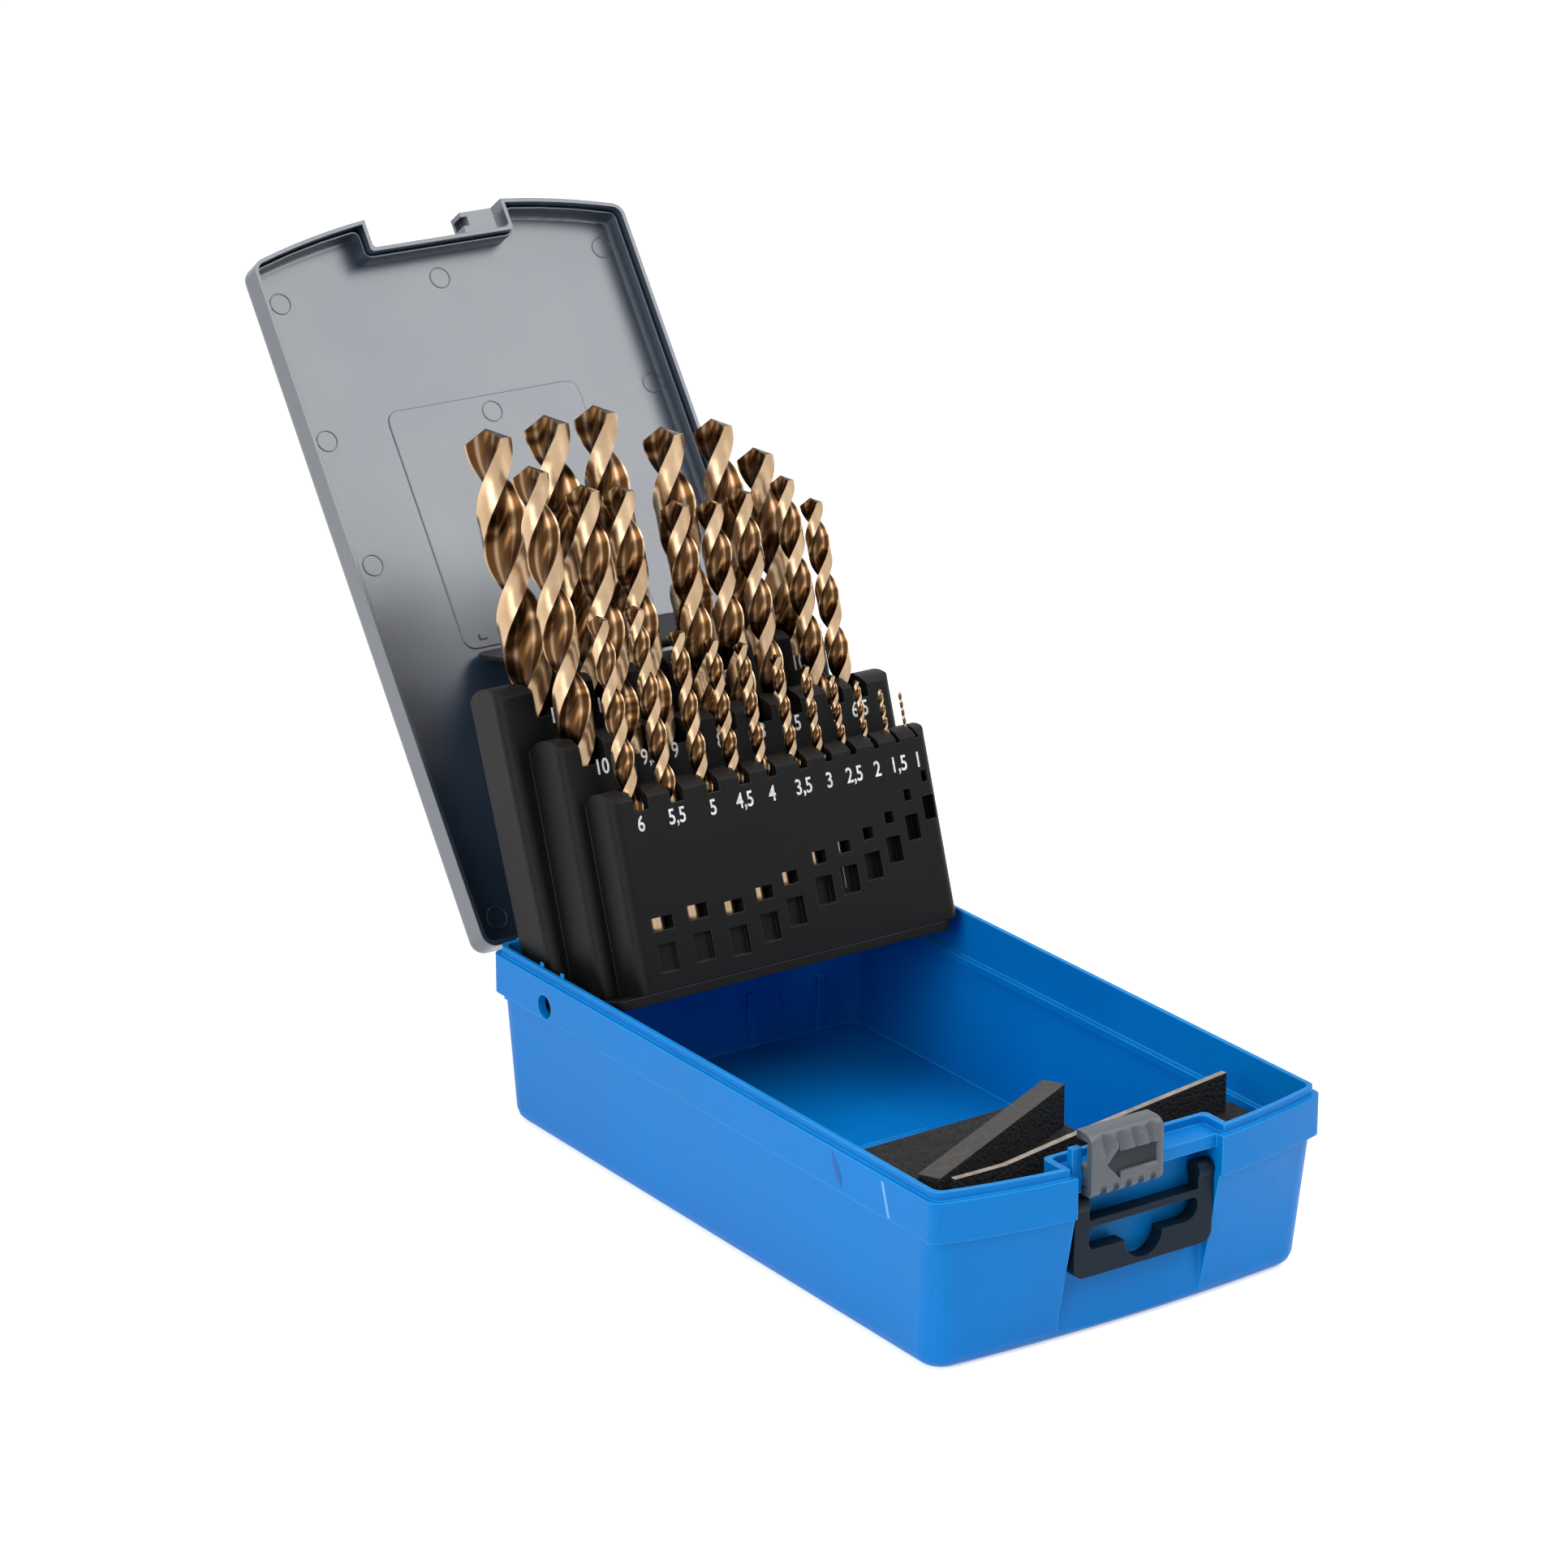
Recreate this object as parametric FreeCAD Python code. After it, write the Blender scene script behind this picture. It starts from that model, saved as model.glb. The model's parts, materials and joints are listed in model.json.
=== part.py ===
import FreeCAD, Part
import math
import os

# Drill bit case with 25 twist drills, shown open. Millimetres, Z up.
# Origin: centre of the underside of the tray. The front with the latch looks towards -Y.

# Drills: diameters count in radii of the smallest drill, lengths are shares of the longest drill and flute
smallest_radius = 0.5
longest_drill = 151.0
longest_flute = 101.0
jobber_shares = {
    2: (0.2252, 0.1188), 3: (0.2649, 0.1782), 4: (0.3245, 0.2376), 5: (0.3775, 0.2970), 6: (0.4040, 0.3267),
    7: (0.4636, 0.3861), 8: (0.4967, 0.4257), 9: (0.5298, 0.4653), 10: (0.5695, 0.5149), 11: (0.6159, 0.5644),
    12: (0.6159, 0.5644), 13: (0.6689, 0.6238), 14: (0.7219, 0.6832), 15: (0.7219, 0.6832), 16: (0.7748, 0.7426),
    17: (0.7748, 0.7426), 18: (0.8278, 0.8020), 19: (0.8278, 0.8020), 20: (0.8808, 0.8614), 21: (0.8808, 0.8614),
    22: (0.9404, 0.9307), 23: (0.9404, 0.9307), 24: (1, 1), 25: (1, 1), 26: (1, 1),
}
drill_pitch_share = 4.45
drill_core_share = 0.32
drill_margin_share = 0.985
drill_step_angle = 45.0
drill_point_angle = 135.0

# Diameters of each row from left to right, counted in radii of the smallest drill
front_counts = (12, 11, 10, 9, 8, 7, 6, 5, 4, 3, 2)
middle_counts = (20, 19, 18, 17, 16, 15, 14, 13)
rear_counts = (26, 25, 24, 23, 22, 21)
# Walls before each drill and after the last one, as shares of the bore wall
front_wall_shares = (1.24, 1.09, 1.21, 1.05, 0.89, 1.27, 1.01, 1.07, 1.05, 1.05, 1.01, 0.64)
middle_wall_shares = (0.92, 1.03, 0.35, 1.45, 0.66, 0.45, 1.32, 0.29, 1.51)
rear_wall_shares = (1.4, 1.15, 0.53, 1.67, 0.83, 0.31, 0.55)
# Heights of the shank ends above the foot, as shares of the top of each row's step
front_end_shares = (0.114, 0.127, 0.103, 0.142, 0.185, 0.181, 0.269, 0.264, 0.357, 0.458, 0.533)
middle_end_shares = (0.116, 0.122, 0.093, 0.113, 0.086, 0.220, 0.239, 0.246)
rear_end_shares = (0.0118, 0.020, 0.026, 0.024, 0.025, 0.0118)
# Sight windows: edges of the lower and the upper opening, as shares of the front step's top
window_edge_shares = (
    (0.088, 0.224, 0.292, 0.359), (0.097, 0.236, 0.307, 0.378), (0.082, 0.222, 0.288, 0.355),
    (0.112, 0.250, 0.321, 0.385), (0.155, 0.295, 0.364, 0.428), (0.224, 0.363, 0.428, 0.492),
    (0.247, 0.385, 0.452, 0.512), (0.288, 0.422, 0.490, 0.550), (0.344, 0.475, 0.542, 0.602),
    (0.434, 0.561, 0.632, 0.690), (0.516, 0.637, 0.707, 0.764),
)

# Holder in its own frame: depth backwards, height along the drills
holder_tilt = 18.13
bore_wall = 5.0
side_step = 4.5
step_depth_front = 12.6
step_depth_middle = 16.0
step_depth_rear = 15.0
front_row_setback = 4.6
row_pitch_front = 15.5
row_pitch_rear = 16.0
front_top = 53.5
step_rise = 15.5
dome_height = 3.0
rear_flare = 1.8
holder_corner = 3.0
bore_gap = 0.2
slot_share = 0.72
foot_inset = 1.9
foot_thickness = 2.6
foot_gap = 0.05
foot_corner = 4.0
window_width = 5.7
window_side_gap = 0.4
window_back_wall = 0.25
middle_top = front_top + step_rise
rear_top = middle_top + step_rise
holder_front = -front_row_setback
step_one = holder_front + step_depth_front
step_two = step_one + step_depth_middle
holder_back = step_two + step_depth_rear


def row_width(counts, wall_shares):
    """Width of one step of the holder: its drills and the walls around them."""
    return sum(counts) * smallest_radius + sum(wall_shares) * bore_wall


# The widest row sets the width of the holder, and with it that of the case
front_width = row_width(front_counts, front_wall_shares)
middle_width = row_width(middle_counts, middle_wall_shares)
rear_width = row_width(rear_counts, rear_wall_shares)
holder_half_width = max(2 * side_step + front_width, side_step + middle_width, rear_width) / 2

# Tray
holder_side_room = 4.6
collar_rear = 100.1
collar_crest = -108.3
collar_bow = 214.0
collar_corner = 3.0
collar_bottom = 36.1
collar_height = 10.7
rim_height = 2.3
rim_inset = 1.3
rim_wall = 1.2
body_inset = 0.9
side_draft = 1.8
rear_draft = 1.8
front_draft = 8.3
foot_bow = 584.0
body_corner = 7.0
bottom_round = 3.6
body_wall = 1.8
rear_wall = 1.6
corner_facets = 6
bow_facets = 12
floor_thickness = 2.0
panel_height = 0.6
panel_left = 4.8
panel_right = 26.9
panel_front = 21.5
panel_back = 43.8
ledge_rise = 0.65
ledge_depth = 2.2
ledge_width = 1.5
collar_half_width = holder_half_width + holder_side_room
shoulder_height = collar_bottom + collar_height
rim_top = shoulder_height + rim_height
rim_face = collar_half_width - rim_inset - rim_wall
ledge_height = collar_bottom + ledge_rise
inner_rear = collar_rear - body_inset - rear_draft - rear_wall

# Front recess, latch shelf and stop post
recess_left = -22.0
recess_right = 22.5
recess_depth = 9.1
recess_wall = 3.0
recess_lip = 1.8
shelf_setback = 3.7
shelf_thickness = 1.8
shelf_lip_drop = 1.6
shelf_lip_wall = 1.5
post_width = 2.9
post_height = 6.6
post_depth = 2.0
post_drop = 3.4
recess_back = collar_crest + recess_depth
shelf_front = collar_crest + shelf_setback
lip_bottom = shoulder_height - shelf_thickness - shelf_lip_drop

# Side holes and ribs
pin_rest_back = 26.3
side_hole_radius = 3.25
guide_rib_offset = 4.25
guide_rib_width = 1.4
guide_rib_height = 5.6
guide_rib_rise = 0.9
inner_rib_width = 1.9
inner_rib_depth = 0.4
inner_rib_height = 18.0
inner_rib_pitch = 11.7
inner_rib_middle = 32.1
pin_rest_y = collar_rear - pin_rest_back

# Lid, written closed and then turned open
hinge_reach = 1.27
hinge_drop = 0.5
lid_open_angle = 125.3
lid_seat_gap = 0.1
lid_overhang = 0.1
lid_height = 10.0
lid_floor = 1.5
lid_lip = 1.1
lid_corner = 4.0
lid_round = 3.0
notch_half_width = 22.0
notch_setback = 0.3
keeper_left = 9.0
keeper_right = 19.4
keeper_reach = 6.8
keeper_rise = 2.2
keeper_height = 5.8
keeper_bite = 2.0
keeper_bite_share = 0.4
lid_hook_width = 2.4
lid_hook_height = 0.9
lid_hook_reach = 85.4
lid_hook_length = 1.5
lid_hook_x = -24.7
lid_slot_length = 5.6
lid_slot_height = 1.3
lid_slot_bite = 0.6
lid_slot_rise = 1.6
lid_slot_one = 66.0
lid_slot_two = 128.8
hinge_y = collar_rear + hinge_reach
hinge_z = shoulder_height - hinge_drop
lid_half_width = collar_half_width + lid_overhang
lid_bottom = shoulder_height + lid_seat_gap
lid_top = shoulder_height + lid_height
lid_inside = lid_top - lid_floor
notch_front = recess_back + notch_setback

# Hinge stations
station_share = 0.669
lid_knuckle_length = 8.0
base_knuckle_length = 6.0
knuckle_radius = 1.9
knuckle_side_gap = 0.3
hinge_pin_radius = 0.9
hinge_pin_fit = 0.05
relief_gap = 0.3
knuckle_web = 4.0
station_centre = collar_half_width * station_share

# Pivot pins and their bosses
pin_radius = 2.9
pin_depth = 24.6
pin_seat_gap = 0.05
pin_fit = 0.05
pin_length = 6.4
pin_side_gap = 0.35
boss_radius = 4.9
boss_side_gap = 0.4
boss_length = 5.5
pin_z = ledge_height + pin_seat_gap + pin_radius
boss_face = rim_face - ledge_width - boss_side_gap
inner_pin_end = rim_face - pin_side_gap - pin_length

# Lift flap between the holder and the lid
flap_rise = 1.7
flap_axis_setback = 0.5
flap_barrel_radius = 1.2
flap_pin_radius = 0.6
flap_pin_fit = 0.05
flap_thickness = 1.1
flap_length = 42.4
flap_left = -30.4
flap_right = 35.9
flap_lug_width = 3.4
flap_lug_gap = 0.3
flap_lid_gap = 0.95
flap_corner = 4.5
flap_axis_height = rear_top + flap_rise
flap_axis_depth = holder_back - flap_axis_setback

# Latch slider
slider_length = 22.6
slider_left = -18.8
slider_depth = 6.3
slider_overtop = 0.4
slider_drop = 5.8
slider_wall = 2.0
slider_round = 3.2
slider_corner = 1.6
slider_hook_wall = 1.4
slider_gap = 0.3
slider_guide_height = 1.5
slider_grip_count = 4
slider_grip_top_radius = 1.9
slider_grip_low_radius = 0.9
slider_grip_bite = 0.7
slider_grip_length = 6.6
slider_grip_reach_share = 1.2
slider_front = collar_crest
slider_back = slider_front + slider_depth
slider_top = lid_top + slider_overtop
slider_bottom = shoulder_height - slider_drop

# Carry handle
handle_setback = 2.9
handle_drop = 9.3
handle_left = -20.6
handle_right = 21.8
handle_length = 19.2
handle_reach = 2.2
handle_thickness = 4.1
handle_arm = 4.4
handle_ear_radius = 2.6
handle_bar_drop = 4.3
handle_bar_height = 1.9
handle_window_height = 6.0
handle_notch_radius = 5.8
handle_notch_x = 0.6
handle_corner = 3.0
handle_window_round = 1.8
handle_window_sweep = 3.9
trunnion_radius = 1.5
trunnion_fit = 0.08
trunnion_length = 1.2
handle_side_gap = 0.3
handle_axis_y = recess_back - handle_setback
handle_axis_z = shoulder_height - handle_drop
handle_front = handle_axis_y - handle_reach
handle_rear = handle_front + handle_thickness
handle_bar_top = handle_axis_z - handle_bar_drop
handle_window_top = handle_bar_top - handle_bar_height
handle_window_low = handle_window_top - handle_window_height

# Front insert: places across are shares of the case's half width, places back start at the crest
insert_thickness = 1.9
insert_gap = 0.25
insert_back_left = 59.7
insert_back_right = 61.4
insert_notch_x_share = 0.117
insert_notch_back = 32.3
insert_right_share = 0.836
insert_leg = 8.0
slot_gap = 0.15
thick_fin_wall = 6.0
thick_fin_rise = 0.5
thick_fin_left_share = -0.931
thick_fin_left_back = 20.3
thick_fin_right_share = 0.067
thick_fin_right_back = 49.7
thin_fin_wall = 1.7
thin_fin_rise = 0.1
thin_fin_x_shares = (-0.833, -0.585, -0.127, 0.749)
thin_fin_reach = 29.7
thin_fin_back_shares = (0.502, 0.495, 0.687, 1)

overrun = 5.0
unit_x = FreeCAD.Vector(1, 0, 0)
unit_y = FreeCAD.Vector(0, 1, 0)
unit_z = FreeCAD.Vector(0, 0, 1)
origin = FreeCAD.Vector(0, 0, 0)


def box(x_low, x_high, y_low, y_high, z_low, z_high):
    """A block between two corners."""
    return Part.makeBox(x_high - x_low, y_high - y_low, z_high - z_low, FreeCAD.Vector(x_low, y_low, z_low))


def rod(radius, x_low, x_high, y, z):
    """A round bar along X."""
    return Part.makeCylinder(radius, x_high - x_low, FreeCAD.Vector(x_low, y, z), unit_x)


def outline_edges(half_width, rear, crest, bow, corner, z):
    """The plan of the case: straight back and sides, bowed front, four rounded corners."""
    bow_centre = crest + bow
    run = half_width - corner
    corner_y = bow_centre - math.sqrt((bow - corner) ** 2 - run ** 2)
    reach = bow / (bow - corner)
    tangent_y = bow_centre + (corner_y - bow_centre) * reach
    angle = math.atan2(bow_centre - corner_y, run) / 2
    bulge_x = run + corner * math.cos(angle)
    bulge_y = corner_y - corner * math.sin(angle)
    rear_bulge = corner * math.sqrt(0.5)

    def at(x, y):
        return FreeCAD.Vector(x, y, z)

    return [
        Part.makeLine(at(half_width, corner_y), at(half_width, rear - corner)),
        Part.Arc(
            at(half_width, rear - corner),
            at(run + rear_bulge, rear - corner + rear_bulge),
            at(run, rear),
        ).toShape(),
        Part.makeLine(at(run, rear), at(-run, rear)),
        Part.Arc(
            at(-run, rear),
            at(-run - rear_bulge, rear - corner + rear_bulge),
            at(-half_width, rear - corner),
        ).toShape(),
        Part.makeLine(at(-half_width, rear - corner), at(-half_width, corner_y)),
        Part.Arc(at(-half_width, corner_y), at(-bulge_x, bulge_y), at(-run * reach, tangent_y)).toShape(),
        Part.Arc(at(-run * reach, tangent_y), at(0, crest), at(run * reach, tangent_y)).toShape(),
        Part.Arc(at(run * reach, tangent_y), at(bulge_x, bulge_y), at(half_width, corner_y)).toShape(),
    ]


def collar_outline(inset, corner, z):
    """The collar's plan, drawn in by one inset all round."""
    half_width = collar_half_width - inset
    crest = collar_crest + inset
    return Part.Wire(outline_edges(half_width, collar_rear - inset, crest, collar_bow, corner, z))


def slab(wire, height):
    """A straight prism over a closed plan."""
    return Part.Face(wire).extrude(unit_z * height)


def rounded_box(x_low, x_high, y_low, y_high, z_low, z_high, radius):
    """A block with its four upright edges rounded."""
    block = box(x_low, x_high, y_low, y_high, z_low, z_high)
    upright = [edge for edge in block.Edges if abs(edge.tangentAt(0).z) > 0.5]
    return block.makeFillet(radius, upright)


def body_level(inset, corner, z, rear_extra):
    """The drafted body's plan at one height, as a polygon with even steps along its curves."""
    lift = 1 - z / collar_bottom
    half_width = collar_half_width - body_inset - side_draft * lift
    rear = collar_rear - body_inset - rear_draft * lift
    crest = collar_crest + body_inset + front_draft * lift
    bow = collar_bow + (foot_bow - collar_bow) * lift
    edges = outline_edges(half_width - inset, rear - inset + rear_extra, crest + inset, bow, corner, z)
    facets = (1, corner_facets, 1, corner_facets, 1, corner_facets, bow_facets, corner_facets)
    points = []
    for edge, count in zip(edges, facets):
        points.extend(edge.discretize(count + 1)[:-1])
    return Part.makePolygon(points + points[:1])


def body_block():
    """The outside of the body: a loft whose lowest levels draw in to round the bottom edge."""
    levels = []
    for angle in (0, 30, 60, 90):
        inset = bottom_round * (1 - math.sin(math.radians(angle)))
        height = bottom_round * (1 - math.cos(math.radians(angle)))
        levels.append(body_level(inset, body_corner - inset, height, 0))
    levels.append(body_level(0, body_corner, collar_bottom, 0))
    return Part.makeLoft(levels, True, True)


def recess_shape(side_margin, back_margin, z_low, z_high, corner):
    """The front recess, wider and deeper by two margins, open towards the front."""
    return rounded_box(
        recess_left - side_margin, recess_right + side_margin,
        collar_crest - overrun - corner, recess_back + back_margin, z_low, z_high, corner,
    )


def hinge_stations():
    """The middles of the two hinge stations."""
    return (-station_centre, station_centre)


def base_knuckle_spans():
    """The stretches of X that the tray's knuckles fill."""
    spans = []
    for centre in hinge_stations():
        inner = centre - lid_knuckle_length / 2 - knuckle_side_gap
        outer = centre + lid_knuckle_length / 2 + knuckle_side_gap
        spans.append((inner - base_knuckle_length, inner))
        spans.append((outer, outer + base_knuckle_length))
    return spans


def lid_knuckle_spans():
    """The stretches of X that the lid's knuckles fill."""
    return [(centre - lid_knuckle_length / 2, centre + lid_knuckle_length / 2) for centre in hinge_stations()]


def knuckle(x_low, x_high, wall_face, z_low, z_high):
    """A hinge knuckle with the web that ties it to a rear wall."""
    barrel = rod(knuckle_radius, x_low, x_high, hinge_y, hinge_z)
    web = box(x_low, x_high, wall_face, hinge_y + knuckle_radius, z_low, z_high)
    return barrel.fuse(web).cut(rod(hinge_pin_radius + hinge_pin_fit, x_low, x_high, hinge_y, hinge_z))


def tray_shell():
    """Body, collar and rim with the hollow inside, before the recess."""
    collar = slab(collar_outline(0, collar_corner, collar_bottom), collar_height)
    rim = slab(collar_outline(rim_inset, collar_corner, shoulder_height), rim_height)
    rim = rim.cut(recess_shape(rim_inset, recess_lip, shoulder_height, rim_top, recess_lip))
    shell = body_block().fuse([collar, rim])
    inner = rim_inset + rim_wall
    upper = slab(collar_outline(inner, collar_corner, ledge_height), rim_top + overrun - ledge_height)
    low_corner = body_corner - body_wall
    rear_extra = body_wall - rear_wall
    lower = Part.makeLoft([
        body_level(body_wall, low_corner, floor_thickness, rear_extra),
        body_level(body_wall, low_corner, collar_bottom, rear_extra),
    ], True, True)
    neck = slab(collar_outline(inner + body_inset, collar_corner, collar_bottom), ledge_rise)
    hollow = upper.fuse([lower, neck])
    hollow = hollow.cut(recess_shape(recess_lip + rim_wall, recess_wall, 0, rim_top + overrun, recess_lip))
    return shell.cut(hollow)


def side_ledges():
    """The ledges that carry the insert and the pivot pins, and the ribs beside each pin."""
    added = []
    for side in (-1, 1):
        edges = sorted((side * (rim_face + rim_inset), side * (rim_face - ledge_width)))
        added.append(
            box(edges[0], edges[1], recess_back + recess_wall, inner_rear,
                ledge_height - ledge_depth, ledge_height)
        )
        rib_face = sorted((side * rim_face, side * (rim_face - inner_rib_depth)))
        for offset in (-guide_rib_offset - guide_rib_width, guide_rib_offset):
            added.append(
                box(rib_face[0], rib_face[1], pin_rest_y + offset, pin_rest_y + offset + guide_rib_width,
                    rim_top - guide_rib_height, rim_top + guide_rib_rise)
            )
    return added


def floor_details():
    """Low ribs on the rear wall and the raised panel on the floor."""
    added = [box(panel_left, panel_right, panel_front, panel_back, floor_thickness / 2,
                 floor_thickness + panel_height)]
    for step in (-1, 0, 1):
        centre = inner_rib_middle + inner_rib_pitch * step
        added.append(
            box(centre - inner_rib_width / 2, centre + inner_rib_width / 2,
                inner_rear - inner_rib_depth, inner_rear + rear_wall, floor_thickness, inner_rib_height)
        )
    return added


def latch_shelf():
    """The shelf that the slider grips, with its front lip and the stop post."""
    shelf = box(recess_left, recess_right, shelf_front, recess_back, shoulder_height - shelf_thickness,
                shoulder_height)
    lip = box(recess_left, recess_right, shelf_front, shelf_front + shelf_lip_wall, lip_bottom, shoulder_height)
    post = box(recess_left, recess_left + post_width, shelf_front, shelf_front + post_depth,
               shoulder_height - shelf_thickness - post_drop, shoulder_height + post_height)
    return [shelf, lip, post]


def base_box():
    """The blue tray: shell, side ledges, recess, latch shelf, post, ribs and hinge knuckles."""
    tray = tray_shell().fuse(side_ledges() + floor_details())
    tray = tray.cut(recess_shape(0, 0, -overrun, shoulder_height + overrun, recess_lip / 2))
    tray = tray.fuse(latch_shelf())
    cuts = []
    for x_low, x_high in lid_knuckle_spans():
        cuts.append(rod(knuckle_radius + relief_gap, x_low - relief_gap, x_high + relief_gap, hinge_y, hinge_z))
        cuts.append(
            box(x_low - relief_gap, x_high + relief_gap, hinge_y - knuckle_radius - relief_gap,
                hinge_y + knuckle_radius, hinge_z, shoulder_height)
        )
    tray = tray.cut(cuts)
    for x_low, x_high in base_knuckle_spans():
        tray = tray.fuse(knuckle(x_low, x_high, collar_rear, hinge_z - knuckle_web, hinge_z))
    reach = collar_half_width + overrun
    depth = trunnion_length + handle_side_gap
    holes = [
        rod(side_hole_radius, -reach, reach, pin_rest_y, pin_z),
        rod(trunnion_radius + trunnion_fit, recess_left - depth, recess_right + depth, handle_axis_y,
            handle_axis_z),
    ]
    return tray.cut(holes).removeSplitter()


def lid_turn(shape):
    """Turn a piece of the closed lid into the open pose."""
    turned = shape.copy()
    turned.rotate(FreeCAD.Vector(0, hinge_y, hinge_z), unit_x, -lid_open_angle)
    return turned


def lid_outline(inset, corner, z):
    """The lid's plan, drawn in by one inset all round."""
    half_width = lid_half_width - inset
    crest = collar_crest - lid_overhang + inset
    return Part.Wire(outline_edges(half_width, collar_rear - inset, crest, collar_bow, corner, z))


def lid_shell():
    """The lid's rounded shell with the latch notch and the wall around it."""
    block = slab(lid_outline(0, lid_corner, lid_bottom), lid_top - lid_bottom)
    top_edges = [edge for edge in block.Edges if edge.BoundBox.ZMin > lid_top - lid_seat_gap]
    block = block.makeFillet(lid_round, top_edges)
    front = collar_crest - overrun - lid_corner
    notch = rounded_box(-notch_half_width, notch_half_width, front, notch_front, lid_bottom - overrun,
                        lid_top + overrun, lid_lip)
    hollow = slab(lid_outline(lid_lip, lid_corner - lid_lip, lid_bottom - overrun),
                  lid_inside - lid_bottom + overrun)
    hollow_edges = [edge for edge in hollow.Edges if edge.BoundBox.ZMin > lid_inside - lid_seat_gap]
    hollow = hollow.makeFillet(lid_round - lid_lip, hollow_edges)
    wrap = rounded_box(-notch_half_width - lid_lip, notch_half_width + lid_lip, front, notch_front + lid_lip,
                       lid_bottom - 2 * overrun, lid_top, lid_lip)
    return block.cut(notch).cut(hollow.cut(wrap))


def lid_keeper():
    """The block beside the notch that the slider catches, with a bite that leaves a hook at its end."""
    low = shoulder_height + keeper_rise
    front = notch_front - keeper_reach
    keeper = box(keeper_left, keeper_right, front, notch_front + lid_lip / 2, low, low + keeper_height)
    bite_front = front + keeper_reach * keeper_bite_share / 2
    bite = box(keeper_left - overrun, keeper_left + keeper_bite, bite_front,
               bite_front + keeper_reach * keeper_bite_share, low - overrun, low + keeper_height - lid_lip)
    return keeper.cut(bite)


def lid_hook():
    """The low hook on the lid's floor that stops the flap."""
    near = collar_rear - lid_hook_reach
    half = lid_hook_width / 2
    return box(lid_hook_x - half, lid_hook_x + half, near - lid_hook_length, near,
               lid_inside - lid_hook_height, lid_inside + lid_floor / 2)


def lid_closed():
    """The lid over the tray: rounded shell, latch notch, keeper, knuckles and flap hook."""
    shell = lid_shell().fuse([lid_keeper(), lid_hook()])
    cuts = []
    for x_low, x_high in base_knuckle_spans():
        cuts.append(
            box(x_low - relief_gap, x_high + relief_gap, collar_rear - 2 * lid_lip, collar_rear + overrun,
                lid_bottom - overrun, hinge_z + knuckle_radius + relief_gap)
        )
    wall_face = lid_half_width - lid_lip
    for reach in (lid_slot_one, lid_slot_two):
        y = collar_rear - reach
        cuts.append(
            box(-wall_face - lid_slot_bite, -wall_face + lid_slot_bite, y - lid_slot_length / 2,
                y + lid_slot_length / 2, lid_bottom + lid_slot_rise,
                lid_bottom + lid_slot_rise + lid_slot_height)
        )
    shell = shell.cut(cuts)
    for x_low, x_high in lid_knuckle_spans():
        shell = shell.fuse(knuckle(x_low, x_high, collar_rear - lid_lip / 2, hinge_z, hinge_z + knuckle_web))
    clear = [rod(hinge_pin_radius + hinge_pin_fit, x_low, x_high, hinge_y, hinge_z)
             for x_low, x_high in lid_knuckle_spans()]
    return shell.cut(clear).removeSplitter()


def hinge_pin(centre):
    """One steel pin through a hinge station."""
    half = lid_knuckle_length / 2 + knuckle_side_gap + base_knuckle_length
    return rod(hinge_pin_radius, centre - half, centre + half, hinge_y, hinge_z)


def holder_place():
    """Where the origin of the holder's own frame lies in the case: Y and Z."""
    angle = math.radians(holder_tilt)
    return pin_rest_y - pin_depth * math.cos(angle), pin_z + pin_depth * math.sin(angle)


def place_holder(shape):
    """Move a shape from the holder's own frame to its raised place."""
    placed = shape.copy()
    placed.rotate(origin, unit_x, -holder_tilt)
    place_y, place_z = holder_place()
    placed.translate(FreeCAD.Vector(0, place_y, place_z))
    return placed


def step_block(x_low, x_high, depth_low, depth_high, top):
    """One step of the holder with a domed top."""
    low = top - dome_height
    middle = (depth_low + depth_high) / 2
    edges = [
        Part.makeLine(FreeCAD.Vector(x_low, depth_low, 0), FreeCAD.Vector(x_low, depth_high, 0)),
        Part.makeLine(FreeCAD.Vector(x_low, depth_high, 0), FreeCAD.Vector(x_low, depth_high, low)),
        Part.Arc(
            FreeCAD.Vector(x_low, depth_high, low), FreeCAD.Vector(x_low, middle, top),
            FreeCAD.Vector(x_low, depth_low, low),
        ).toShape(),
        Part.makeLine(FreeCAD.Vector(x_low, depth_low, low), FreeCAD.Vector(x_low, depth_low, 0)),
    ]
    return Part.Face(Part.Wire(edges)).extrude(unit_x * (x_high - x_low))


def soften_step(block, depth_low):
    """Round the two upright front edges of a step."""
    upright = [edge for edge in block.Edges
               if abs(edge.tangentAt(edge.FirstParameter).z) > 0.9
               and edge.BoundBox.YMax < depth_low + holder_corner]
    return block.makeFillet(holder_corner, upright)


def flared_step():
    """The rear step, whose left side leans outwards towards the top."""
    left = -holder_half_width
    outer = left - rear_flare
    block = step_block(outer, left + rear_width, step_two, holder_back, rear_top)
    corners = [(outer, 0), (left, 0), (outer, rear_top)]
    points = [FreeCAD.Vector(x, step_two, z) for x, z in corners + corners[:1]]
    wedge = Part.Face(Part.makePolygon(points)).extrude(unit_y * step_depth_rear)
    return block.cut(wedge)


def row_drills(left, counts, wall_shares, end_shares, depth, face, top):
    """The drills of one row: size, place across, depth, shank end, front face and top of the step."""
    drills = []
    edge = left
    for count, wall_share, end_share in zip(counts, wall_shares, end_shares):
        size = count * smallest_radius
        x = edge + wall_share * bore_wall + size / 2
        edge = x + size / 2
        drills.append((count, x, depth, end_share * top, face, top))
    return drills


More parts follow.
